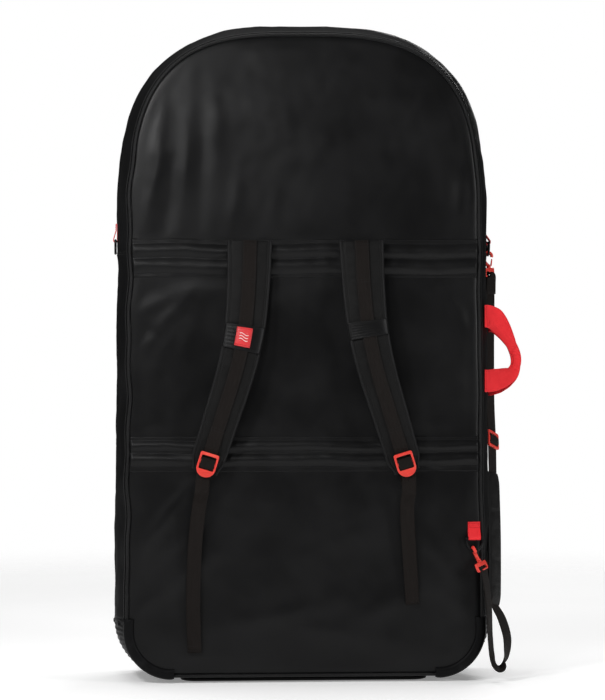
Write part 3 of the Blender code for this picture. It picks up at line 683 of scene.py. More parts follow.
def harness_relief(x, z):
    """Height of the harness-side panel over its plane: slow sag, cloth ripple and its own soft folds."""
    folds = creases(x, z, [
        (-0.262, 0.925, 84, 0.110, 0.0100, 0.0040), (-0.232, 0.890, 82, 0.100, 0.0095, -0.0026),
        (-0.214, 0.930, 86, 0.130, 0.0120, 0.0034), (-0.182, 0.900, 88, 0.090, 0.0100, -0.0022),
        (-0.160, 0.965, 90, 0.080, 0.0130, 0.0026), (-0.125, 0.850, 82, 0.050, 0.0090, 0.0018),
        (-0.285, 0.830, 70, 0.045, 0.0080, 0.0026), (-0.060, 0.830, 76, 0.045, 0.0100, 0.0016),
        (0.278, 0.862, 82, 0.050, 0.0140, -0.0034), (0.248, 0.895, 98, 0.070, 0.0130, 0.0022),
        (0.205, 0.860, 104, 0.050, 0.0120, 0.0014), (-0.030, 1.030, 16, 0.150, 0.0260, 0.0024),
        (0.120, 0.965, -14, 0.120, 0.0260, 0.0020), (0.020, 0.900, 84, 0.080, 0.0200, 0.0014),
        (-0.270, 0.668, 24, 0.060, 0.0090, 0.0034), (-0.242, 0.648, 48, 0.060, 0.0080, 0.0028),
        (-0.285, 0.630, -30, 0.030, 0.0060, -0.0024), (-0.288, 0.610, 34, 0.030, 0.0060, -0.0022),
        (-0.262, 0.560, 66, 0.080, 0.0140, 0.0030), (-0.222, 0.575, 70, 0.080, 0.0120, 0.0022),
        (-0.268, 0.480, 84, 0.060, 0.0150, 0.0028), (-0.205, 0.480, 78, 0.060, 0.0120, -0.0018),
        (0.270, 0.660, -58, 0.055, 0.0100, 0.0026), (0.240, 0.610, -62, 0.080, 0.0120, 0.0020),
        (0.262, 0.520, 84, 0.060, 0.0140, 0.0016), (-0.050, 0.560, 84, 0.080, 0.0160, 0.0016),
        (-0.008, 0.610, 88, 0.080, 0.0100, 0.0013), (0.045, 0.545, 96, 0.080, 0.0150, 0.0015),
        (-0.230, 0.318, 46, 0.085, 0.0110, 0.0036), (-0.270, 0.262, 52, 0.075, 0.0100, 0.0032),
        (-0.205, 0.250, 44, 0.085, 0.0100, -0.0020), (-0.190, 0.205, 40, 0.085, 0.0140, 0.0028),
        (-0.262, 0.160, 38, 0.070, 0.0110, 0.0026), (-0.055, 0.118, 12, 0.110, 0.0120, 0.0030),
        (0.060, 0.085, -10, 0.100, 0.0110, 0.0026), (0.150, 0.140, 24, 0.090, 0.0130, 0.0022),
        (0.245, 0.215, -52, 0.090, 0.0130, 0.0030), (0.268, 0.140, -40, 0.060, 0.0110, 0.0024),
        (0.225, 0.320, -70, 0.050, 0.0120, 0.0020), (0.030, 0.270, 78, 0.090, 0.0170, 0.0018),
        (-0.090, 0.300, 66, 0.070, 0.0140, 0.0016),
    ])
    slow = ripples(x, z, 11, 0.140, 0.420) * 0.0013
    small = ripples(x, z, 12, 0.028, 0.090) * 0.00016
    held = 1 - 0.85 * np.maximum.reduce([
        soft_step(z, low - 0.022, low - 0.002) * soft_step(-z, -high - 0.022, -high - 0.002)
        for low, high in BANDS.values()])
    return np.clip((folds + slow + small + 0.0008) * held, -0.0045, 0.0060)


def cover_relief(x, z):
    """Height of the cover's panel: a slight crown, slow sag and ripple, and folds into its corners."""
    crown = 0.0030 * (1 - (x / 0.33) ** 2) * np.clip(1 - ((z - 0.62) / 0.56) ** 2, 0, 1)
    folds = creases(x, z, [
        (-0.240, 0.960, 60, 0.080, 0.0130, 0.0016), (0.235, 0.930, -62, 0.090, 0.0140, 0.0016),
        (-0.250, 0.230, -50, 0.080, 0.0140, 0.0015), (0.245, 0.250, 52, 0.080, 0.0140, 0.0015),
        (0.020, 0.700, 84, 0.140, 0.0220, 0.0010), (-0.110, 0.480, 76, 0.120, 0.0200, 0.0010),
        (0.130, 0.430, 100, 0.120, 0.0200, 0.0010), (0.000, 0.165, 4, 0.180, 0.0140, 0.0012),
    ])
    return crown + folds + ripples(x, z, 21, 0.120, 0.400) * 0.0009 + ripples(x, z, 22, 0.028, 0.09) * 0.00028


def kick_relief(x, z):
    """Height of the kick panel: a little ripple."""
    return ripples(x, z, 31, 0.050, 0.200) * 0.0004


def strip_lift(points, depths, seed, amount, first, last):
    """Ripple of a strip of the gusset, still at its two sewn edges."""
    run = run_along(points)
    across, along = np.meshgrid(depths, run)
    held = soft_step(across, first, first + 0.022) * soft_step(-across, -last, -last + 0.014)
    slow = ripples(across * 1.6, along, seed, 0.050, 0.260)
    wave = slow + 0.35 * ripples(across, along, seed + 1, 0.02, 0.06)
    return wave * amount * held, np.stack([across, along], axis=-1)


def add_strip(name, low, first, last, seed, amount, body, nodes, columns=34, seam=True):
    """A long strip of the gusset over the arch, with the joining seam's fold across it on each side."""
    course = seam_above(low)
    depths = np.linspace(first, last, columns)
    ripple, uv = strip_lift(course[0], depths, seed, amount, first, last)
    height = course[0][:, 1][:, None]
    if seam:
        sunk = np.exp(-((height - GUSSET_SEAM) / 0.0016) ** 2) * -0.0011
        rolled = np.exp(-((height - GUSSET_SEAM - 0.0045) / 0.0028) ** 2) * 0.0010
        ripple = ripple + sunk + rolled
    grid = tugged(on_strip(course, depths, GUSSET_FACE + ripple))
    finished(Shape().add(grid, uv), name, GUSSET_CLOTH, "black_fabric", body, nodes, facing=from_middle,
             wall=GUSSET_WALL)


def add_welt(name, low, depth, body, width=0.0070, height=0.0030):
    """A rolled welt that runs beside the piping: an oval bead carried along the gusset."""
    path = gusset_line(seam_above(low), depth, 0.0016)
    bead = tugged(carried(path, (0, 1, 0), oval(width, height, 14)))
    finished(Shape().add(bead), name, BINDING, "piping", body)


def piped(name, line, side, body, node, sweep, radius=0.0029):
    """Fabric piping over a cord: a round section swept along, or round, a seam line (x, z) on one side."""
    path = np.column_stack([line[:, 0], np.full(len(line), side * SEAM_DEPTH), line[:, 1]])
    rings = sweep(path, (0, 1, 0), oval(2 * radius, 2 * radius, 14))
    finished(Shape().add(tugged(rings)), name, BINDING, "piping", body, [node])


def make_shell():
    """The bag's panels, gusset, cover, welts, piping and inner padding, and the gusset's joining stitches."""
    add_panel("harness_side", -1, SEAM_BASE, ARCH_TOP, harness_relief, "bag", ["back_panel"])
    add_panel("kick_side", 1, SEAM_BASE, BASE_TOP, kick_relief, "bag", ["kick_panel"])
    add_panel("cover_side", 1, COVER_FOOT, ARCH_TOP, cover_relief, "cover", ["cover_panel"])
    add_strip("gusset_shell", HINGE_HEIGHT - 0.004, -GUSSET_EDGE, ZIP_LINE - TAPE_WIDTH, 41, 0.0011, "bag",
              ["gusset_arch", "gusset_left", "gusset_right"])
    add_strip("cover_border", COVER_FOOT, ZIP_LINE + TAPE_WIDTH, GUSSET_EDGE, 51, 0.0005, "cover",
              ["cover_wall"], 16, seam=False)
    add_welt("welt_harness_side", HINGE_HEIGHT, -0.0862, "bag")
    add_welt("welt_cover_side", COVER_FOOT, 0.0862, "cover")
    piped("piping_harness_side", seam_whole(), -1, "bag", "back_piping", closed_loop)
    piped("piping_cover_side", seam_above(COVER_FOOT)[0], 1, "cover", "cover_piping", carried)
    make_inner_padding("back", -1, SEAM_BASE, "bag")
    make_inner_padding("cover", 1, COVER_FOOT, "cover")
    rows, depths = [], np.linspace(-0.0900, 0.0330, 40)
    for height in (GUSSET_SEAM + 0.0085, GUSSET_SEAM + 0.0045):
        for side in (1, -1):
            x = side * (seam_side(height) + gusset_out(depths, height) + 0.0026)
            rows.append((np.column_stack([x, depths, np.full(40, height)]), (side, 0, 0)))
    stitched("gusset_seam_stitches", rows, "bag")


def make_inner_padding(name, side, low, body):
    """The lining stretched over the foam: flat inside, with its rim turned out to the seam."""
    x, z, edge = panel_grid(low, ARCH_TOP, 0.0016, 97)
    rim = 0.0080 * (1 - soft_step(edge, 0.0008, 0.0052))
    depth = 0.0851 + rim + ripples(x, z, 61, 0.05, 0.25) * 0.00012
    grid = np.stack([x, side * depth, z], axis=-1)
    finished(Shape().add(grid, np.stack([x, z], axis=-1)), f"{name}_inner_lining", LINING, "lining", body,
             [f"{name}_lining"], facing=(0, -side, 0), wall=0.0006)


# ---------------------------------------------------------------- base and guards

def base_course():
    """The seam line below the cover's hinge, from the -X side round the base to the +X side."""
    half = seam_half(SEAM_BASE, BASE_TOP)
    flat = np.column_stack([np.linspace(0, HALF_LOW - CORNER, 40)[:-1], np.full(39, SEAM_BASE)])
    half = np.vstack([flat, half])
    points = np.vstack([half[:0:-1] * (-1, 1), half])
    return points, outward(points)


def make_base():
    """The gusset's base strip, the wear pad under it (a rounded outline in steps) and the two guards."""
    course = base_course()
    depths = np.linspace(-GUSSET_EDGE, GUSSET_EDGE, 41)
    ripple, uv = strip_lift(course[0], depths, 71, 0.0004, -GUSSET_EDGE, GUSSET_EDGE)
    finished(Shape().add(on_strip(course, depths, 0.0010 + ripple), uv), "base_shell", GUSSET_CLOTH,
             "black_fabric", "bag", ["base_strip"], facing=from_middle, wall=GUSSET_WALL)
    outline = rounded(0.44, 0.14, 0.02, 8)
    top = SEAM_BASE - float(gusset_out(0.0, SEAM_BASE)) - 0.0008
    levels = [(0.30, 0.0000), (0.90, 0.0000), (0.975, 0.0004), (0.995, 0.0016), (1.0, 0.0030), (1.0, top)]
    ring = np.stack([np.column_stack([outline * shrink, np.full(len(outline), level)])
                     for shrink, level in levels])
    ring = np.concatenate([np.zeros((1, len(outline), 3)), ring, np.full((1, len(outline), 3), (0, 0, top))])
    ring = np.concatenate([ring, ring[:, :1]], axis=1)
    finished(Shape().add(ring, ring[..., :2].copy()), "base_wear_pad", BAND_CLOTH, "black_fabric", "bag",
             ["base_pad"])
    edge = np.vstack([outline, outline[:1]]) * 0.965
    stitched("base_pad_stitches", [(np.column_stack([edge, np.full(len(edge), 0.0004)]), (0, 0, -1))], "bag")
    for side, name in ((1, "right"), (-1, "left")):
        make_guard(side, name)


def make_guard(side, name):
    """A moulded guard: a smooth rolled rim over each face, and ribs front to back round the corner."""
    half = seam_half(SEAM_BASE, BASE_TOP, corner_steps=80, side_step=0.002)
    flat = np.column_stack([np.linspace(0.232, HALF_LOW - CORNER, 4)[:-1], np.full(3, SEAM_BASE)])
    points = np.vstack([flat, half])
    normals = outward(points) * (side, 1)
    points = points * (side, 1)
    run = run_along(points)
    rim = [(-0.0972, -0.0125), (-0.1004, -0.0112), (-0.1022, -0.0080), (-0.1026, -0.0040), (-0.1022, 0.0000),
           (-0.1010, 0.0032), (-0.0988, 0.0054), (-0.0955, 0.0066), (-0.0925, 0.0062), (-0.0905, 0.0048)]
    wall = np.concatenate([np.linspace(-0.0893, -0.0860, 3), np.linspace(-0.0835, 0.0835, 41),
                           np.linspace(0.0860, 0.0893, 3)])
    end = soft_step(run, 0.0, 0.006) * soft_step(-run, -run[-1], -run[-1] + 0.006)
    rib = 0.0011 * (0.5 + 0.5 * np.cos(2 * math.pi * run / 0.0075)) ** 2 * soft_step(run, 0.006, 0.014)
    rib = rib * soft_step(-run, -run[-1] + 0.006, -run[-1] + 0.014)
    sunk, drawn_in = 0.0012 * (1 - end), 0.0008 * (1 - end)
    columns = [(depth + drawn_in, np.full(len(points), lift) - sunk) for depth, lift in rim]
    for depth in wall:
        ribbed = rib * soft_step(-abs(depth), -0.0865, -0.0800)
        reach = gusset_out(depth, points[:, 1]) + 0.0026 + ribbed - sunk
        columns.append((np.full(len(points), depth), reach))
    columns += [(-depth - drawn_in, np.full(len(points), lift) - sunk) for depth, lift in reversed(rim)]
    grid = np.stack([
        np.column_stack([points[:, 0] + normals[:, 0] * reach, depth, points[:, 1] + normals[:, 1] * reach])
        for depth, reach in columns], axis=1)
    finished(Shape().add(grid), f"guard_{name}", GUARD_PLASTIC, "guard_plastic", "bag",
             [f"corner_guard_{name}"], facing=from_middle, wall=0.0020)
    rivets, turn = Shape(), np.linspace(0, 2 * math.pi, 17)
    for depth in (-0.062, 0.0, 0.062):
        for place in (0.022, run[-1] - 0.012):
            k = int(np.argmin(np.abs(run - place)))
            normal = np.array([normals[k, 0], 0.0, normals[k, 1]])
            out = gusset_out(depth, points[k, 1]) + 0.0036
            centre = np.array([points[k, 0], depth, points[k, 1]]) + normal * out
            along = np.cross(normal, (0, 1, 0))
            disc = np.cos(turn)[:, None] * np.array([0, 1.0, 0]) + np.sin(turn)[:, None] * along
            levels = [(0.0001, 0.0016), (0.0022, 0.0014), (0.0036, 0.0008), (0.0042, 0.0), (0.0042, -0.0012)]
            rivets.add(np.stack([centre + disc * radius + normal * rise for radius, rise in levels]))
    finished(rivets, f"guard_rivets_{name}", RING_METAL, "ring_metal", "bag", facing=from_middle)


# ---------------------------------------------------------------- bands

BAND_RIDGES = {
    "upper": ((0.7245, 0.7500), (0.7530, 0.7765)),
    "lower": ((0.3840, 0.4055), (0.4085, 0.4285)),
}
BAND_STITCHES = {"upper": (0.7190, 0.7232, 0.7782, 0.7835), "lower": (0.3752, 0.3815, 0.3833, 0.4300, 0.4345)}


def band_rise(name, x, z):
    """How far a band stands out of the panel's plane: thin hems, and padded ridges with a fold between."""
    rise = np.full(np.broadcast(x, z).shape, 0.0012)
    wander = 0.0011 * np.sin(x * 21.0 + (0.5 if name == "upper" else 2.0)) + 0.0006 * np.sin(x * 47.0)
    for low, high in BAND_RIDGES[name]:
        s = np.clip((z - wander - low) / (high - low), 0, 1)
        rise = rise + 0.0044 * np.sin(math.pi * s).clip(0) ** 0.85
    return rise + ripples(x, z * 2.0, 81, 0.03, 0.16) * 0.00050


def make_bands():
    """The two sewn bands: each a grid raised by band_rise, sunk at its ends, with rows of stitches."""
    rows = []
    for name, (low, high) in BANDS.items():
        half = float(seam_side((low + high) / 2)) - 0.0034
        x = half * np.sin(np.linspace(-1, 1, 181) * math.pi / 2)
        z = np.linspace(low, high, 71)
        x, z = np.meshgrid(x, z)
        edge = np.minimum.reduce([half - np.abs(x), z - low, high - z])
        out = BAND_BACK + band_rise(name, x, z) * soft_step(half - np.abs(x), -0.0040, 0.0045)
        y = -out + 0.0016 * (1 - soft_step(edge, 0.0, 0.0016))
        grid = tugged(np.stack([x, y, z], axis=-1))
        finished(Shape().add(grid, np.stack([x, z], axis=-1)), f"band_{name}", BAND_CLOTH, "band_fabric",
                 "bag", [f"{name}_band"], facing=(0, -1, 0), wall=0.0030)
        run = np.linspace(-half + 0.004, half - 0.004, 160)
        for height in BAND_STITCHES[name]:
            out = 0.0974 + band_rise(name, run, np.full(160, height))
            rows.append((np.column_stack([run, -out, np.full(160, height)]), (0, -1, 0)))
    stitched("band_stitches", rows, "bag")


# ---------------------------------------------------------------- moulded pieces

def moulding(loops, thickness, right, up, place, bevel=0.0006):
    """Points and faces of a plate with windows: outlines filled, edges rounded, then turned into place."""
    curve = bpy.data.curves.new("outline", "CURVE")
    curve.dimensions = "2D"
    curve.fill_mode = "BOTH"
    curve.extrude = thickness / 2 - bevel
    curve.bevel_depth = bevel
    curve.bevel_resolution = 2
    curve.offset = -bevel
    for loop in loops:
        spline = curve.splines.new("POLY")
        spline.points.add(len(loop) - 1)
        corners = np.column_stack([loop, np.zeros(len(loop)), np.ones(len(loop))])
        spline.points.foreach_set("co", corners.reshape(-1))
        spline.use_cyclic_u = True
    holder = bpy.data.objects.new("outline", curve)
    bpy.context.scene.collection.objects.link(holder)
    graph = bpy.context.evaluated_depsgraph_get()
    mesh = bpy.data.meshes.new_from_object(holder.evaluated_get(graph))
    bpy.data.objects.remove(holder)
    bpy.data.curves.remove(curve)
    right, up = unit(right), unit(up)
    local = np.zeros(len(mesh.vertices) * 3)
    mesh.vertices.foreach_get("co", local)
    local = local.reshape(-1, 3)
    points = place + local @ np.array([right, up, np.cross(right, up)])
    faces = [tuple(polygon.vertices) for polygon in mesh.polygons]
    bpy.data.meshes.remove(mesh)
    return points, faces


def moulded_piece(name, plates, material, slot, body, replaced=()):
    """One object from several moulded plates."""
    points, faces, count = [], [], 0
    for plate_points, plate_faces in plates:
        points.append(plate_points)
        faces += [tuple(index + count for index in face) for face in plate_faces]
        count += len(plate_points)
    mesh = bpy.data.meshes.new(name)
    mesh.from_pydata(np.vstack(points).tolist(), [], faces)
    build = bmesh.new()
    build.from_mesh(mesh)
    bmesh.ops.remove_doubles(build, verts=build.verts, dist=MERGE_WITHIN)
    bmesh.ops.recalc_face_normals(build, faces=build.faces)
    build.to_mesh(mesh)
    build.free()
    mesh.shade_smooth()
    mesh.set_sharp_from_angle(angle=math.radians(38))
    mesh.materials.append(material)
    piece = bpy.data.objects.new(name, mesh)
    bpy.context.scene.collection.objects.link(piece)
    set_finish(piece, slot)
    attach(piece, body)
    if replaced:
        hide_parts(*replaced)
    return piece


def turned(base, axis, levels, steps=20):
    """A surface of revolution: (radius, height) pairs turned about an axis through a base point."""
    axis = unit(axis)
    side = unit(np.cross(axis, (0.31, 0.87, 0.11)))
    other = np.cross(axis, side)
    angle = np.linspace(0, 2 * math.pi, steps + 1)
    circle = np.cos(angle)[:, None] * side + np.sin(angle)[:, None] * other
    circle[-1] = circle[0]
    return np.stack([np.asarray(base) + axis * height + circle * radius for radius, height in levels])


# ---------------------------------------------------------------- harness

LOCK_HINGE = np.array((0.169334, -0.135152, 0.406420))


def strap_path(side):
    """Path, width direction, outward normal and width of a harness pad, from its top seam down."""
    path = smooth_path([
        (0.0985 * side, -0.1115, 0.782),
        (0.1010 * side, -0.1200, 0.713),
        (0.1065 * side, -0.1300, 0.6425),
        (0.1155 * side, -0.1340, 0.589),
        (0.1290 * side, -0.1330, 0.536),
        (0.1565 * side, -0.1260, 0.448),
        (0.1790 * side, -0.1180, 0.375),
    ], 24)
    along = unit(np.gradient(path, axis=0))
    across = unit(np.cross((0, -1, 0), along))
    return path, across, np.cross(along, across), np.interp(path[:, 2], (0.375, 0.782), (0.055, 0.075))


def at_heights(values, heights, wanted):
    """Rows of a strap's arrays read where it passes the wanted heights."""
    order = np.argsort(heights)
    return np.column_stack([np.interp(wanted, heights[order], column[order])
                            for column in np.atleast_2d(values.T)])


def pad_half(u, thickness):
    """Half thickness across a pad at u from -1 to 1: crowned, sewn down beside its edges, closed at them."""
    crown = 0.66 + 0.34 * (1 - u**2)
    channel = 1 - 0.30 * np.exp(-((np.abs(u) - SEWN_AT) / 0.028) ** 2)
    return thickness / 2 * crown * channel * (1 - np.abs(u) ** 9).clip(0) ** 0.5


def padded_strap(path, across, width, thickness, seed, wrinkle, dents=()):
    """A stuffed strap carried along a path, with cross wrinkles that deepen where it bends."""
    run = run_along(path)
    angle = np.linspace(0, 2 * math.pi, 97)
    u = squared_off(np.cos(angle), 0.75)
    u[-1] = u[0]
    half = width[:, None] / 2
    lift = np.sign(np.sin(angle)) * pad_half(u[None, :], thickness[:, None])
    across_m, along_m = half * u[None, :], run[:, None] + 0 * u[None, :]
    wave = ripples(across_m * 0.55, along_m * 1.5, seed, 0.014, 0.070) * wrinkle
    for place, depth, spread, slant in dents:
        wave = wave - depth * np.exp(-((along_m + across_m * slant - place * run[-1]) / spread) ** 2)
    soft = (1 - np.abs(u) ** 4) * (np.sin(angle) > 0.02)
    lift = lift + wave * soft
    profile = np.stack([half * u[None, :], lift], axis=-1)
    profile[:, -1] = profile[:, 0]
    return carried(path, across, profile)


def make_harness(side, name, wrap_low, wrap_high, tail):
    """A harness pad with bound edges, its webbing sewn on and folded through the lock, and stitches."""
    body, lock = f"harness_{name}", f"lock_{name}"
    path, across, normal, width = strap_path(side)
    height = path[:, 2]
    width = width * (1 - 0.22 * soft_step(-height, -0.400, -0.378))
    thickness = PAD_THICKNESS * (0.42 + 0.58 * soft_step(-height, -0.784, -0.745))
    thickness = thickness * (1 - 0.40 * soft_step(-height, -0.430, -0.378))
    dents = {1: [(0.39, 0.0022, 0.0045, 0.25), (0.30, 0.0012, 0.004, -0.3)], -1: [(0.36, 0.0010, 0.006, 0.2)]}
    rings = padded_strap(path, across, width, thickness, 90 + side, 0.00042, dents[side])
    pad = finished(Shape().add(rings), f"pad_{name}", PAD_CLOTH, "band_fabric", body, [f"harness_pad_{name}"])

    beads, rows = Shape(), []
    face_lift = (pad_half(np.full(1, SEWN_AT), thickness) + 0.0002)[:, None]
    for edge in (1, -1):
        line = path + across * (edge * (width / 2 - 0.0006))[:, None] + normal * 0.0004
        beads.add(carried(line, across, oval(0.0052, 0.0062, 12)))
        seam = path + across * (edge * (width / 2 * SEWN_AT))[:, None]
        seam = seam + normal * face_lift
        rows.append((seam, normal))
        rows.append((seam - 2 * normal * face_lift, -normal))
    finished(beads, f"pad_binding_{name}", BINDING, "piping", body)

    lift = 0.0082 - 0.0034 * soft_step(height, 0.742, 0.784)
    keep = height > 0.432
    run = path[keep] + normal[keep] * lift[keep][:, None]
    at_lock = np.argmin(np.abs(height - 0.3915))
    up, out = -unit(np.gradient(path, axis=0))[at_lock], normal[at_lock]
    bar = LOCK_HINGE * (side, 1, 1)
    fold = np.array([
        bar + up * 0.0120 - out * 0.0008, bar + up * 0.0050 - out * 0.0030, bar - out * 0.0038,
        bar - up * 0.0060 - out * 0.0038, bar - up * 0.0115 - out * 0.0036, bar - up * 0.0160 - out * 0.0040])
    sewn, folded = run[:-1:4], smooth_path(fold, 5)
    web = np.vstack([sewn, run[-1:], folded])
    sideways = np.vstack([across[keep][:-1:4], np.tile(across[keep][-1], (len(folded) + 1, 1))])
    finished(Shape().add(ribbon_shape(web, sideways, HARNESS_WEBBING)), f"pad_webbing_{name}", BLACK_STRAP,
             "black_webbing", body, [f"harness_webbing_{name}"])
    keep = (height > 0.436) & (height < 0.780)
    for edge in (1, -1):
        line = path[keep] + across[keep] * edge * 0.0108 + normal[keep] * (lift[keep] + 0.0009)[:, None]
        rows.append((line, normal[keep]))
    for place in (0.7755, 0.7700, 0.7125, 0.7080, 0.4520, 0.4475):
        centre, wide, face = (at_heights(v, height, [place])[0] for v in (path, across, normal))
        rise = float(np.interp(place, height[::-1], lift[::-1])) + 0.0009
        rows.append((np.linspace(centre - wide * 0.0105, centre + wide * 0.0105, 8) + face * rise, face))
    stitched(f"pad_stitches_{name}", rows, body)
    make_wrap(side, name, body, wrap_low, wrap_high)
    make_lock(side, name, lock, bar, up, out, tail)


def make_wrap(side, name, body, low, high):
    """A sleeve of cloth round the pad and its webbing, drawn tighter in its middle."""
    path, across, normal, width = strap_path(side)
    levels = np.linspace(high, low, 26)
    middle, sideways = at_heights(path, path[:, 2], levels), at_heights(across, path[:, 2], levels)
    half = at_heights(width, path[:, 2], levels)[:, 0] / 2 + 0.0016
    angle = np.linspace(0, 2 * math.pi, 73)
    cos, sin = np.cos(angle), np.sin(angle)
    s = (levels - low) / (high - low)
    tight = 1 - 0.05 * np.sin(math.pi * s) + 0.012 * np.sin(s * 40.0)
    x = squared_off(cos, 0.6)
    front = np.where(sin > 0, 0.0106, 0.0080) * squared_off(sin, 0.55)
    crown = 1 - 0.20 * np.abs(x) ** 2
    profile = np.stack([half[:, None] * x, tight[:, None] * front * crown], axis=-1)
    profile[:, -1] = profile[:, 0]
    rings = carried(middle, sideways, profile, caps=False)
    finished(Shape().add(rings), f"pad_sleeve_{name}", BAND_CLOTH, "band_fabric", body,
             [f"harness_wrap_{name}"], facing=away_from(middle.mean(axis=0)), wall=0.0011)
    rows = []
    for place in (high - 0.0028, low + 0.0028):
        k = int(np.argmin(np.abs(levels - place)))
        ring = rings[k][(sin > 0.05)]
        face = at_heights(normal, path[:, 2], [place])[0]
        rows.append((ring + face * 0.0002, face))
    stitched(f"sleeve_stitches_{name}", rows, body)


def make_lock(side, name, body, bar, up, out, tail):
    """The ladder lock: a frame round a middle bar, with webbing drawn over that bar, and its free tail."""
    centre = bar - up * 0.0198
    right = np.cross(up, out)
    width, height = 0.034, 0.044
    arc = np.linspace(math.pi, 2 * math.pi, 26)
    dee = np.vstack([
        rounded(width, height, 0.0035, 5)[:10],
        np.column_stack([width / 2 * np.cos(arc), -height / 8 + 0.375 * height * np.sin(arc)])])
    window = rounded(0.0265, 0.0250, 0.0022, 4) + (0, 0.0040)
    plates = [moulding([dee, window], 0.0040, right, up, centre, 0.0009)]
    bar_loop = rounded(0.0285, 0.0066, 0.0020, 4) + (0, 0.0040)
    plates.append(moulding([bar_loop], 0.0032, right, up, centre - out * 0.0002, 0.0008))
    grip = rounded(0.0230, 0.0018, 0.0008, 3)
    for level in (-0.0125, -0.0155, -0.0185):
        shrink = 1.0 - 0.25 * (-level - 0.0125) / 0.006
        plates.append(moulding([grip * (shrink, 1) + (0, level)], 0.0052, right, up, centre, 0.0006))
    moulded_piece(f"lock_frame_{name}", plates, RED_PLASTIC, "red_plastic", body, [f"ladder_lock_{name}"])
    over = np.array([(-0.0180, -0.0044), (-0.0120, -0.0040), (-0.0080, -0.0018), (-0.0052, 0.0010),
                     (-0.0015, 0.0024), (0.0040, 0.0027), (0.0085, 0.0023), (0.0112, 0.0000),
                     (0.0098, -0.0028), (0.0040, -0.0036), (-0.0020, -0.0036)])
    over[:8, 1] += 0.0006
    drawn = smooth_path([centre + up * y + out * z for y, z in over], 5)
    finished(Shape().add(ribbon_shape(drawn, right, HARNESS_WEBBING)), f"lock_webbing_{name}", BLACK_STRAP,
             "black_webbing", body)
    line = smooth_path([centre + up * 0.0020 - out * 0.0040, centre - up * 0.0100 - out * 0.0046,
                        centre - up * 0.0230 - out * 0.0044, *tail], 12)
    end = line[-1]
    hem = line[-14:-1] + (0, 0.0016, 0)
    share = np.linspace(0, 1, len(line))
    lean = np.column_stack([np.ones(len(line)), 0.10 * np.sin(share * 7.0 + side),
                            0.06 * np.sin(share * 5.0)])
    shape = Shape().add(ribbon_shape(line, lean, HARNESS_WEBBING))
    shape.add(ribbon_shape(hem, lean[-14:-1], HARNESS_WEBBING * 0.985, 0.0014))
    finished(shape, f"tail_{name}", BLACK_STRAP, "black_webbing", body, [f"harness_tail_{name}"])
    rows = [(np.column_stack([np.linspace(-0.0105, 0.0105, 8) + end[0], np.full(8, end[1] - 0.0010),
                              np.full(8, end[2] + lift)]), (0, -1, 0)) for lift in (0.004, 0.012)]
    stitched(f"tail_stitches_{name}", rows, body)
    anchor = smooth_path([
        (0.1740 * side, -0.1048, 0.415),
        (0.1780 * side, -0.1050, 0.385),
        (0.1805 * side, -0.1065, 0.362),
        (0.1815 * side, -0.1120, 0.352),
        (0.1820 * side, -0.1190, 0.350),
        (0.1820 * side, -0.1240, 0.355),
    ], 8)
    strap = Shape().add(ribbon_shape(anchor, (1, 0, 0), HARNESS_WEBBING)).make(
        f"anchor_{name}", BLACK_STRAP, "black_webbing")
    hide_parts(f"harness_anchor_{name}")
    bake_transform(strap)


def make_label():
    """The woven tag on the left pad: a crowned patch with its edges turned under."""
    path, across, normal, _ = strap_path(-1)
    heights = np.linspace(0.628, 0.595, 24)
    middle, sideways, out = (at_heights(v, path[:, 2], heights) for v in (path, across, normal))
    u = np.linspace(-1, 1, 31)
    v = np.linspace(-1, 1, 24)
    drop = 0.0014 * (np.abs(u)[None, :] ** 8 + np.abs(v)[:, None] ** 8)
    half_width, half_height = TAG_WIDTH / 2, TAG_HEIGHT / 2
    grid = (middle[:, None] + sideways[:, None] * (u * half_width)[None, :, None]
            + out[:, None] * (0.0133 - drop - 0.0007 * u[None, :] ** 2)[..., None])
    uv = np.stack(np.meshgrid(half_width + u * half_width, half_height - v * half_height), axis=-1)
    finished(Shape().add(grid, uv), "strap_tag", LABEL, "label", "harness_left", ["label_tab"],
             facing=(0, -1, 0), wall=0.0012)
    rows, inset, lift = [], 0.0124, 0.0130
    for edge, k in ((1, 2), (-1, -3)):
        rows.append((middle[2:-2] + sideways[2:-2] * edge * inset + out[2:-2] * lift, out[2:-2]))
        rows.append((np.linspace(middle[k] - sideways[k] * inset, middle[k] + sideways[k] * inset, 9)
                     + out[k] * lift, out[k]))
    stitched("tag_stitches", rows, "harness_left", THREAD_RED, 0.0030, 0.0022, 0.0007)


# ---------------------------------------------------------------- rings and hooks

RING_X = gusset_x(0.030, 0.78) + 0.0110
LOWER_HOOK = np.array((0.3003, -0.1081, 0.2322))


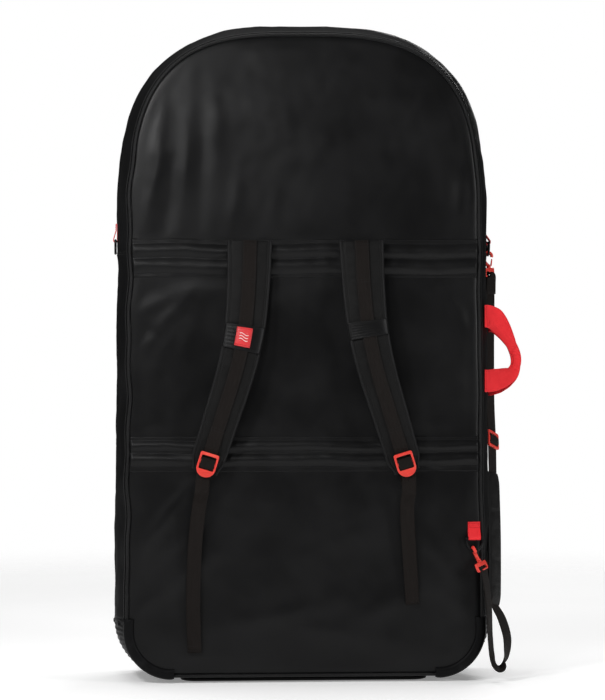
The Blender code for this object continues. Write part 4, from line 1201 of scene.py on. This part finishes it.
def make_ring(name, bar, along, out, keeper_width, keeper_height, stand, ring_body):
    """A keeper folded round the bar of a D-ring, its two leaves sewn together above it."""
    bar, along, out = np.asarray(bar, float), unit(along), unit(out)
    up = np.array((0.0, 0.0, 1.0))
    bend = 0.0033
    sewn = bar - out * (bend + stand) + up * keeper_height
    turn = np.linspace(0, -math.pi, 15)
    fold = np.vstack([
        [sewn, sewn - up * 0.006, sewn - up * 0.012],
        bar - out * bend * np.cos(turn)[:, None] + up * bend * np.sin(turn)[:, None],
        [bar + out * bend + up * 0.003, sewn + out * 0.0022 - up * 0.012, sewn + out * 0.0020]])
    finished(Shape().add(ribbon_shape(fold, along, keeper_width)), f"keeper_webbing_{name}", RED_STRAP,
             "red_webbing", "bag", [f"keeper_{name}"])
    half, drop = keeper_width / 2 + 0.0035, 0.024
    angle = np.linspace(math.pi, 2 * math.pi, 33)
    corner = 0.0018
    ring = np.vstack([
        bar + along * np.linspace(half - corner, corner - half, 10)[:, None],
        bar - along * (half - 0.0005) - up * 0.0006,
        bar + along * half * np.cos(angle)[:, None] - up * 0.0040 + up * drop * 0.8 * np.sin(angle)[:, None],
        bar + along * (half - 0.0005) - up * 0.0006])
    finished(Shape().add(closed_loop(ring, out, oval(0.0044, 0.0044, 14))), f"ring_{name}", RING_METAL,
             "ring_metal", ring_body, [f"d_ring_{name}"])
    rows, face, high, low = [], sewn + out * 0.0031, 0.0025, 0.0100
    wide = along * keeper_width * 0.40
    for drop_to in (high, low):
        end = face - up * drop_to
        rows.append((np.linspace(end - wide, end + wide, 9), out))
    for edge in (1, -1):
        end = face + edge * wide
        rows.append((np.linspace(end - up * high, end - up * low, 5), out))
    stitched(f"keeper_stitches_{name}", rows, "bag", THREAD_RED, 0.0032, 0.0024, 0.0008)


def make_hook(name, centre, down, out, right):
    """A snap hook: a bow on a stem with a swivel collar, a sprung gate, and the slotted webbing foot."""
    centre, down, out = np.asarray(centre, float), unit(down), np.asarray(out, float)
    out = unit(out - down * (out @ down))
    right = np.asarray(right, float)
    right = unit(right - down * (right @ down))
    reach = 0.0070
    angle = np.linspace(-0.3, math.pi, 26)
    arc = centre + reach * (np.cos(angle)[:, None] * out - np.sin(angle)[:, None] * down)
    stem = smooth_path([arc[-1]] + [centre + out * sideways + down * drop for sideways, drop in (
        (-0.0070, 0.0080), (-0.0035, 0.0140), (0.0, 0.0175), (0.0, 0.0205))], 5)
    bow = np.vstack([arc[:-1], stem])
    size = 1.0 + 0.16 * np.sin(np.linspace(0, math.pi, len(bow)))
    section = oval(0.0056, 0.0056, 14, 0.8)
    shape = Shape().add(carried(bow, np.cross(down, out), section, size))
    collar = [(0.0, 0.0), (0.0034, 0.0), (0.0042, 0.0006), (0.0042, 0.0020), (0.0034, 0.0026),
              (0.0030, 0.0032), (0.0, 0.0032)]
    shape.add(turned(centre + down * 0.0182, down, collar))
    seat = [(0.0, 0.0), (0.0036, 0.0), (0.0044, 0.0005), (0.0030, 0.0016), (0.0, 0.0016)]
    shape.add(turned(centre + down * 0.0158, down, seat))
    finished(shape, f"hook_bow_{name}", RED_PLASTIC, "red_plastic", "shoulder_strap", [f"hook_{name}"])
    foot = centre + out * 0.0045 + down * 0.0165
    tip = centre + out * 0.0068 + down * 0.0055
    line = np.linspace(tip, foot, 14)
    grow = np.interp(np.linspace(0, 1, 14), (0, 0.08, 0.5, 0.92, 1), (0.5, 0.85, 1.0, 1.1, 0.8))
    pin = np.cross(down, out)
    gate = Shape().add(carried(line, pin, oval(0.0028, 0.0028, 12), grow))
    barrel = [(0.0, 0.0), (0.0013, 0.0), (0.0015, 0.0003), (0.0015, 0.0039), (0.0013, 0.0042), (0.0, 0.0042)]
    gate.add(turned(foot - pin * 0.0021, pin, barrel))
    finished(gate, f"gate_{name}", RED_PLASTIC, "red_plastic", f"hook_{name}_gate", [f"hook_{name}_gate"])
    middle = centre + down * 0.0290
    outline = rounded(0.046, 0.0160, 0.0035, 6)
    slot = rounded(0.0385, 0.0058, 0.0014, 4) + (0, -0.0025)
    ridge = rounded(0.0300, 0.0022, 0.0009, 3) + (0, 0.0052)
    plates = [moulding([outline, slot], 0.0045, right, -down, middle, 0.0010),
              moulding([ridge], 0.0054, right, -down, middle, 0.0006)]
    moulded_piece(f"hook_foot_{name}", plates, RED_PLASTIC, "red_plastic", "shoulder_strap",
                  [f"hook_{name}_base"])


def make_shoulder_strap():
    """The hook-on strap beside the gusset: webbing folded through its upper hook, glide, pad, lower loop."""
    make_ring("left", (-gusset_x(0.0, 0.79) - 0.0042, 0.0, 0.7850), (0, 1, 0), (-1, 0, 0), 0.025, 0.030, 0.0,
              "d_ring_left")
    make_ring("right_upper", (RING_X, 0.030, 0.7835), (0, 1, 0), (1, 0, 0), 0.025, 0.030, 0.0065, "bag")
    make_ring("right_lower", (0.3000, -0.1080, 0.2560), (1, 0, 0), (0, -1, 0), 0.022, 0.028, 0.0068, "bag")
    make_hook("upper", (RING_X, 0.030, 0.7585), (0.08, 0, -1), (1, 0, 0), (0.46, 0.888, 0))
    make_hook("lower", LOWER_HOOK, (0.40, -0.10, -0.90), (0, -1, 0.1), (0.45, 0.86, 0.10))
    x = RING_X + 0.0030
    fold = [
        (x + 0.0030, 0.030, 0.6900), (x + 0.0032, 0.030, 0.7120), (x + 0.0034, 0.030, 0.7212),
        (x + 0.0022, 0.030, 0.7252), (x, 0.030, 0.7262), (x - 0.0024, 0.030, 0.7252),
        (x - 0.0034, 0.030, 0.7212), (x - 0.0022, 0.030, 0.7120), (x + 0.0008, 0.030, 0.7000)]
    line = np.vstack([smooth_path(fold, 4)[:-1], smooth_path([
        fold[-1], (0.3452, 0.0300, 0.6700), (0.3447, 0.0290, 0.6000), (0.3450, 0.0250, 0.5000),
        (0.3458, 0.0080, 0.4300), (0.3440, -0.0160, 0.3720), (0.3438, -0.0215, 0.3500)], 14)])
    share = np.clip((0.7205 - line[:, 2]) / (0.7205 - 0.372), 0, 1)[:, None]
    facing = (1 - share) * (0.54, 0.842, 0) + share * (0.48, 0.85, -0.25)
    finished(Shape().add(ribbon_shape(line, facing, STRAP_WEBBING)), "strap_upper", BLACK_STRAP,
             "black_webbing", "shoulder_strap", ["strap_webbing_upper"])
    make_shoulder_pad()
    loop = smooth_path([
        (0.3415, -0.0585, 0.1480), (0.3425, -0.0630, 0.1310), (0.3540, -0.0680, 0.1080),
        (0.3625, -0.0760, 0.0750), (0.3585, -0.0880, 0.0440), (0.3450, -0.0990, 0.0270),
        (0.3330, -0.1080, 0.0400), (0.3275, -0.1130, 0.0800), (0.3250, -0.1150, 0.1350),
        (0.3178, -0.1126, 0.1915), (0.3135, -0.1110, 0.2040)], 12)
    share = np.linspace(0, 1, len(loop))[:, None]
    wide = np.sin(np.clip(share * 2.2, 0, 1) * math.pi)
    facing = (1 - share) * (0.25, 0.97, 0) + share * (0.38, 0.90, 0.15) + wide * (0.25, 0, 0)
    finished(Shape().add(ribbon_shape(loop, facing, STRAP_WEBBING)), "strap_lower", BLACK_STRAP,
             "black_webbing", "shoulder_strap", ["strap_webbing_lower"])
    rows = []
    for height in (0.6950, 0.7050):
        wide = np.linspace(-0.0155, 0.0155, 10)
        rows.append((np.column_stack([x + 0.0040 + wide * 0.54, 0.030 + wide * 0.842, np.full(10, height)]),
                     (0.842, -0.54, 0)))
    for wide in (-0.0155, 0.0155):
        rows.append((np.column_stack([np.full(6, x + 0.0040 + wide * 0.54), np.full(6, 0.030 + wide * 0.842),
                                      np.linspace(0.6950, 0.7050, 6)]), (0.842, -0.54, 0)))
    stitched("strap_stitches", rows, "shoulder_strap")
    place = np.array((0.3479, 0.0053, 0.4254))
    right, up = unit((0.50, 0.830, -0.266)), unit((0, 0.305, 0.952))
    out = np.cross(right, up)
    slots = [rounded(0.0385, 0.0058, 0.0014, 4) + (0, lift) for lift in (0.0075, -0.0075)]
    plates = [moulding([rounded(0.046, 0.030, 0.0045, 7), *slots], 0.0040, right, up, place, 0.0010)]
    moulded_piece("glide_frame", plates, RED_PLASTIC, "red_plastic", "tri_glide", ["tri_glide"])
    over = [(-0.0135, -0.0034), (-0.0100, -0.0020), (-0.0072, 0.0012), (-0.0040, 0.0029), (0.0, 0.0031),
            (0.0040, 0.0029), (0.0072, 0.0012), (0.0100, -0.0020), (0.0135, -0.0034)]
    drawn = smooth_path([place + up * y + out * z for y, z in over], 5)
    finished(Shape().add(ribbon_shape(drawn, right, STRAP_WEBBING * 0.985)), "glide_webbing", BLACK_STRAP,
             "black_webbing", "tri_glide")


SHOULDER_FACING = (0.50, 0.866, 0)


def make_shoulder_pad():
    """The shoulder pad: a stuffed sleeve with rounded ends, drawn in round the webbing at each of them."""
    path = smooth_path([(0.3438, -0.0180, 0.3660), (0.3440, -0.0420, 0.2500), (0.3415, -0.0620, 0.1330)], 60)
    s = np.linspace(0, 1, len(path))
    ends = (1 - (1 - np.clip(s / 0.10, 0, 1)) ** 2.4) * (1 - (1 - np.clip((1 - s) / 0.12, 0, 1)) ** 2.4)
    width = 0.036 + 0.0155 * ends
    thickness = 0.0040 + 0.0052 * ends
    rings = padded_strap(path, SHOULDER_FACING, width, thickness, 97, 0.00045,
                         [(0.30, 0.0009, 0.006, 0.2), (0.66, 0.0011, 0.007, -0.3)])
    pad = finished(Shape().add(rings), "shoulder_cushion", PAD_CLOTH, "black_fabric", "shoulder_strap",
                   ["shoulder_pad"])
    _, side, out = frames(path, SHOULDER_FACING)
    beads, rows = Shape(), []
    for edge in (1, -1):
        line = path + side * (edge * (width / 2 - 0.0006))[:, None]
        beads.add(carried(line, SHOULDER_FACING, oval(0.0036, 0.0042, 12)))
        for face in (1, -1):
            lift = face * (pad_half(np.full(1, SEWN_AT), thickness) + 0.0002)
            seam = path + side * (edge * width / 2 * SEWN_AT)[:, None]
            rows.append((seam + out * lift[:, None], out * face))
    finished(beads, "shoulder_cushion_binding", BINDING, "piping", "shoulder_strap")
    stitched("shoulder_cushion_stitches", rows, "shoulder_strap")


# ---------------------------------------------------------------- carry handle

# The loops' middle line as (x, z), with the webbing's width there, from the upper root to the lower.
HANDLE_LINE = np.array([
    (0.3205, 0.6490, 0.0400), (0.3280, 0.6488, 0.0400), (0.3400, 0.6440, 0.0400), (0.3525, 0.6310, 0.0340),
    (0.3640, 0.6150, 0.0260),
    (0.3735, 0.5985, 0.0190), (0.3815, 0.5800, 0.0160), (0.3825, 0.5640, 0.0170), (0.3755, 0.5480, 0.0240),
    (0.3600, 0.5400, 0.0340), (0.3420, 0.5355, 0.0400), (0.3290, 0.5340, 0.0400), (0.3205, 0.5340, 0.0400)])
HANDLE_MEET = -0.0420


def handle_course(x_root, y_root, meet, drop):
    """Path, width direction, width and share outwards of one loop, which leans in to meet the other."""
    reach = HANDLE_LINE[:, 0].max()
    share = (HANDLE_LINE[:, 0] - HANDLE_LINE[0, 0]) / (reach - HANDLE_LINE[0, 0])
    points = np.column_stack([x_root + share * (reach - x_root), y_root + (meet - y_root) * share**0.85,
                              HANDLE_LINE[:, 1] - drop * (1 - share)])
    line = smooth_path(points, 10)
    place = np.linspace(0, len(points) - 1, len(line))
    width, share = along_index(np.column_stack([HANDLE_LINE[:, 2], share]), place).T
    step = np.gradient(line, axis=0)
    return line, unit(np.column_stack([-step[:, 2], 0 * width, step[:, 0]])), width, share


def make_handle():
    """Two loops of red webbing, sewn flat at their roots and drawn together into a folded grip."""
    roots = {"front": (0.3205, -0.0905, 0.0), "rear": (gusset_x(-0.004, 0.59) + 0.0012, -0.0060, 0.0090)}
    courses = []
    for name, (x, y, drop) in roots.items():
        meet = HANDLE_MEET + (0.0016 if name == "rear" else -0.0016)
        line, across, width, share = handle_course(x, y, meet, drop)
        courses.append(line)
        curl = 0.0026 * np.sin(math.pi * share) * (1 if name == "front" else -1)
        strap = Shape().add(ribbon_shape(line, across, width, 0.0017, sag=curl)).make(
            f"handle_{name}", RED_STRAP, "red_webbing")
        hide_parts(f"handle_loop_{name}")
        x + 0.004
        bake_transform(strap)
        rows, near, far, half = [], 0.003, 0.013, 0.0165
        for root, inward in ((line[0], line[6]), (line[-1], line[-7])):
            step = unit(inward - root)
            face = unit(np.cross(step, (0, 0, 1.0)))
            face = face if face @ (1.0, -1.0, 0.0) > 0 else -face
            box = [(near, half), (far, half), (far, -half), (near, -half), (near, half)]
            points = np.array([root + step * along + np.array((0, 0, 1.0)) * lift for along, lift in box])
            seam = np.vstack([np.linspace(a, b, 8) for a, b in zip(points, points[1:])])
            rows.append((seam + face * 0.0011, face))
        stitched(f"handle_stitches_{name}", rows, "bag", THREAD_RED)
    make_handle_sleeve((courses[0] + courses[1]) / 2)


def make_handle_sleeve(middle):
    """The grip's cover: a flat oval tube round both loops, puckered along it and drawn in at its ends."""
    held = (middle[:, 2] < 0.6120) & (middle[:, 2] > 0.5520) & (middle[:, 0] > 0.3600)
    line, _ = evenly(middle[held], 0.0012)
    count = len(line)
    s = np.linspace(0, 1, count)
    step = np.gradient(line, axis=0)
    across = unit(np.column_stack([-step[:, 2], np.zeros(count), step[:, 0]]))
    angle = np.linspace(0, 2 * math.pi, 61)
    cos, sin = np.cos(angle), np.sin(angle)
    taper = 0.84 + 0.16 * np.sin(math.pi * s) ** 0.5
    pucker = 1.0 + 0.05 * np.sin(s * 34.0) + 0.03 * np.sin(s * 61.0 + 1.0)
    x = taper[:, None] * (squared_off(cos, 0.7) * 0.0098)
    y = (taper * pucker)[:, None] * (squared_off(sin, 0.8) * 0.0056)
    pinch = 1 - 0.42 * np.exp(-((x + 0.0062) / 0.0020) ** 2)
    profile = np.stack([x, y * pinch], axis=-1)
    profile[:, -1] = profile[:, 0]
    finished(Shape().add(carried(line, across, profile, caps=False)), "handle_sleeve", RED_STRAP,
             "red_webbing", "carry_handle", ["handle_grip"], facing=away_from(line.mean(axis=0)), wall=0.0012)
    _, side, out = frames(line, across)
    line, side, out = line[3:-3], side[3:-3], out[3:-3]
    rows = [(line - side * 0.0062 + out * face * 0.0040, out * face) for face in (1, -1)]
    stitched("handle_sleeve_stitches", rows, "carry_handle", THREAD_RED)


# ---------------------------------------------------------------- zip

def zip_half(name, y_from, y_to, coil, body, node):
    """One side of the zip: its tape along the gusset, and the coil's turns as short crosswise beads."""
    course = seam_above(COVER_FOOT)
    points, normals = course
    depths = np.linspace(y_from, y_to, 7)
    uv = np.stack(np.meshgrid(depths, run_along(points)), axis=-1)
    finished(Shape().add(on_strip(course, depths, 0.0005 + 0 * depths), uv), f"zip_tape_{name}", ZIP_TAPE,
             "zip_tape", body, [node], facing=from_middle, wall=0.0010)
    outwards = np.column_stack([normals[:, 0], np.zeros(len(points)), normals[:, 1]])
    places, index = evenly(gusset_line(course, coil, 0.0010), 0.0026)
    up = along_index(outwards, index)
    ends = np.stack([places - (0, 0.0021, 0), places + (0, 0.0021, 0)], axis=1)
    teeth = Shape()
    for bead in bead_rows(ends, up, 0.0017):
        teeth.add(bead)
    finished(teeth, f"zip_coil_{name}", COIL, "zip_tape", body)
    hem = y_from + 0.0012 if name == "bag" else y_to - 0.0012
    stitched(f"zip_stitches_{name}", [(gusset_line(course, hem, 0.0009), outwards)], body)


def bead_rows(ends, up, thick):
    """Closed six-sided beads between pairs of ends, swelling in the middle: one grid for each."""
    along = unit(ends[:, 1] - ends[:, 0])
    side = np.cross(along, up)
    turn = np.linspace(0, 2 * math.pi, 7)
    grids = []
    for start, stop, lift, wide in zip(ends[:, 0], ends[:, 1], up, side):
        circle = np.cos(turn)[:, None] * wide + np.sin(turn)[:, None] * lift
        circle[-1] = circle[0]
        grids.append(np.stack([start + (stop - start) * s + circle * thick / 2 * r
                               for s, r in ((0, 0), (0.08, 0.8), (0.5, 1.0), (0.92, 0.8), (1, 0))]))
    return grids


def make_zip():
    """Both halves of the zip, and on each side of the crest a slider (two plates, a bridge) and its pull."""
    zip_half("bag", ZIP_LINE - 0.0003 - TAPE_WIDTH, ZIP_LINE - 0.0003, ZIP_LINE - 0.0016, "bag",
             "zip_tape_bag")
    zip_half("cover", ZIP_LINE + 0.0003, ZIP_LINE + 0.0003 + TAPE_WIDTH, ZIP_LINE + 0.0016, "cover",
             "zip_tape_cover")
    for side, name in ((-1, "left"), (1, "right")):
        low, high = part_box(f"zip_slider_{name}")
        centre = (np.array(low) + np.array(high)) / 2
        base = float(low[2])
        plates = [moulding([rounded(0.0130, 0.0100, 0.0036, 6)], 0.0017, (1, 0, 0), (0, 1, 0),
                           np.array((centre[0], ZIP_LINE, base + 0.0022)), 0.0006)]
        plates.append(moulding([rounded(0.0090, 0.0030, 0.0012, 4)], 0.0022, (1, 0, 0), (0, 1, 0),
                               np.array((centre[0], ZIP_LINE, base + 0.0010)), 0.0004))
        arch = smooth_path([(centre[0] - side * 0.0048, ZIP_LINE, base + 0.0026),
                            (centre[0] - side * 0.0030, ZIP_LINE, base + 0.0040),
                            (centre[0] + side * 0.0030, ZIP_LINE, base + 0.0041),
                            (centre[0] + side * 0.0072, ZIP_LINE, base + 0.0032),
                            (centre[0] + side * 0.0066, ZIP_LINE, base + 0.0014)], 6)
        bridge = carried(arch, (0, 1, 0), oval(0.0030, 0.0014, 12, 0.7))
        faces = np.arange(bridge.shape[0] * bridge.shape[1]).reshape(bridge.shape[:2])
        quads = np.stack([faces[:-1, :-1], faces[:-1, 1:], faces[1:, 1:], faces[1:, :-1]], axis=-1)
        plates.append((bridge.reshape(-1, 3), [tuple(quad) for quad in quads.reshape(-1, 4).tolist()]))
        moulded_piece(f"slider_{name}", plates, RED_PLASTIC, "red_plastic", f"zip_slider_{name}",
                      [f"zip_slider_{name}"])
        low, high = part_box(f"zip_pull_{name}")
        middle = np.array((float(low[0] + high[0]) / 2, ZIP_LINE, float(low[2] + high[2]) / 2))
        window = rounded(0.0280, 0.0052, 0.0024, 7) + (-side * 0.0060, 0)
        plates = [moulding([rounded(0.0440, 0.0118, 0.0056, 10), window], 0.0034, (1, 0, 0), (0, 1, 0),
                           middle, 0.0010)]
        for rib in range(3):
            plates.append(moulding([rounded(0.0012, 0.0080, 0.0005, 3) + (side * (0.0125 + 0.0028 * rib), 0)],
                                   0.0042, (1, 0, 0), (0, 1, 0), middle, 0.0004))
        moulded_piece(f"pull_{name}", plates, RUBBER, "rubber", f"zip_pull_{name}", [f"zip_pull_{name}"])
        sleeve = np.linspace(-0.0070, 0.0070, 12)
        path = np.column_stack([middle[0] + side * (sleeve - 0.0015), np.full(12, ZIP_LINE),
                                np.full(12, middle[2])])
        band = carried(path, (0, 1, 0), oval(0.0128, 0.0046, 40, 0.45), np.interp(
            np.arange(12), (0, 1, 10, 11), (0.94, 1, 1, 0.94)), caps=False)
        finished(Shape().add(band), f"pull_sleeve_{name}", RED_PLASTIC, "red_plastic", f"zip_pull_{name}",
                 facing=away_from(path.mean(axis=0)), wall=0.0006)


# ---------------------------------------------------------------- carried-over nodes, floor, light, camera

def dress_nodes():
    """A finish for the solids of the frame that are kept: the foam sheets between the layers."""
    for name in ("back_foam", "cover_foam"):
        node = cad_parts[name]
        if not node.material_slots:
            node.data.materials.append(FOAM)
        for held in node.material_slots:
            held.material = FOAM


def make_floor():
    """A pale level floor: rings round the bag's foot, fading out to the pale surroundings."""
    radius = np.concatenate([[0.0], np.geomspace(0.2, 3.6, 14)])
    turn = np.linspace(0, 2 * math.pi, 65)
    grid = np.stack([np.outer(radius, np.cos(turn)), np.outer(radius, np.sin(turn)), np.zeros((15, 65))],
                    axis=-1)
    graph = Graph("pale_floor", (0.90, 0.90, 0.90), 0.75, emission_color=(1.0, 1.0, 1.0, 1.0),
                  emission_strength=0.24)
    vector, *_ = graph.place("Object")
    graph.paint(graph.band(graph.noise(vector, 2.0), 0.3, 0.7), (0.93, 0.93, 0.93))
    reach = graph.node("ShaderNodeVectorMath", {"operation": "LENGTH"}, {0: vector}, 1)
    fade = graph.band(reach, 0.9, 3.0, 1.0, 0.0)
    graph.tree.links.new(fade.socket, graph.shader.inputs["Alpha"])
    floor = Shape().add(grid).make("floor", graph.material, "none", facing=(0, 0, 1))
    del floor["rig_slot"]


def soft_box(name, place, target, width, height, power):
    """A rectangular light of a width and height in metres and a power in watts, turned to a target."""
    data = bpy.data.lights.new(name, "AREA")
    data.shape = "RECTANGLE"
    data.size, data.size_y = width, height
    data.energy = power
    light = bpy.data.objects.new(name, data)
    bpy.context.scene.collection.objects.link(light)
    light.location = place
    light.visible_camera = False
    direction = np.asarray(target, float) - np.asarray(place, float)
    light.rotation_mode = "QUATERNION"
    light.rotation_quaternion = type(cad_box[0])(direction).to_track_quat("-Z", "Y")


def make_lights():
    """Surroundings that are white where the camera sees them and dim as a light, and the soft boxes."""
    dim, white = 0.055, 1.0
    world = bpy.data.worlds.new("studio")
    bpy.context.scene.world = world
    bpy.context.scene.view_settings.view_transform = "Standard"
    world.use_nodes = True
    tree = world.node_tree
    seen = tree.nodes.new("ShaderNodeLightPath")
    brightness = tree.nodes.new("ShaderNodeMapRange")
    brightness.inputs["To Min"].default_value = dim
    brightness.inputs["To Max"].default_value = white
    tree.links.new(seen.outputs["Is Camera Ray"], brightness.inputs["Value"])
    tree.nodes["Background"].inputs["Color"].default_value = (1.0, 1.0, 1.0, 1.0)
    tree.links.new(brightness.outputs["Result"], tree.nodes["Background"].inputs["Strength"])
    soft_box("satin_left", (-0.37, -1.35, 1.13), (-0.25, -0.1, 0.98), 0.20, 0.26, 3.4)
    soft_box("key_left", (-0.95, -1.30, 1.45), (-0.15, -0.1, 0.80), 0.30, 0.30, 17.0)
    soft_box("side_left", (-1.5, -0.9, 0.95), (-0.1, -0.1, 0.6), 0.30, 0.8, 4.0)
    soft_box("side_right", (1.5, -1.1, 0.80), (0.2, -0.1, 0.6), 0.30, 0.8, 12.0)
    soft_box("floor_top", (0.0, 0.6, 3.2), (0, 0.7, 0.0), 3.0, 1.6, 60.0)
    soft_box("back_fill", (0.9, 2.4, 1.7), (0, 0.1, 0.7), 0.8, 0.8, 14.0)


def make_camera():
    """A long lens that faces the harness side from a little to its left, almost level with its middle."""
    data = bpy.data.cameras.new("camera")
    sensor, distance, height_seen = 36.0, 5.0, 1.239
    data.sensor_width = sensor
    data.lens = sensor * (distance - SEAM_DEPTH) / height_seen
    camera = bpy.data.objects.new("camera", data)
    bpy.context.scene.collection.objects.link(camera)
    azimuth, elevation = math.radians(-3.5), math.radians(0.5)
    target = np.array((0.0010, 0.0, 0.5883))
    back = np.array((math.sin(azimuth) * math.cos(elevation), -math.cos(azimuth) * math.cos(elevation),
                     math.sin(elevation)))
    camera.location = target + back * distance
    camera.rotation_mode = "QUATERNION"
    camera.rotation_quaternion = type(cad_box[0])(-back).to_track_quat("-Z", "Y")
    bpy.context.scene.camera = camera


make_shell()
make_base()
make_bands()
make_harness(1, "right", 0.612, 0.640, [
    (0.1810, -0.1310, 0.340), (0.1790, -0.1200, 0.315), (0.1810, -0.1130, 0.270), (0.1860, -0.1080, 0.200),
    (0.1900, -0.1060, 0.138)])
make_harness(-1, "left", 0.589, 0.632, [
    (-0.1840, -0.1310, 0.340), (-0.1880, -0.1200, 0.315), (-0.1950, -0.1110, 0.250),
    (-0.1985, -0.1070, 0.150), (-0.1960, -0.1060, 0.055)])
make_label()
make_shoulder_strap()
make_handle()
make_zip()
dress_nodes()
make_floor()
make_lights()
make_camera()
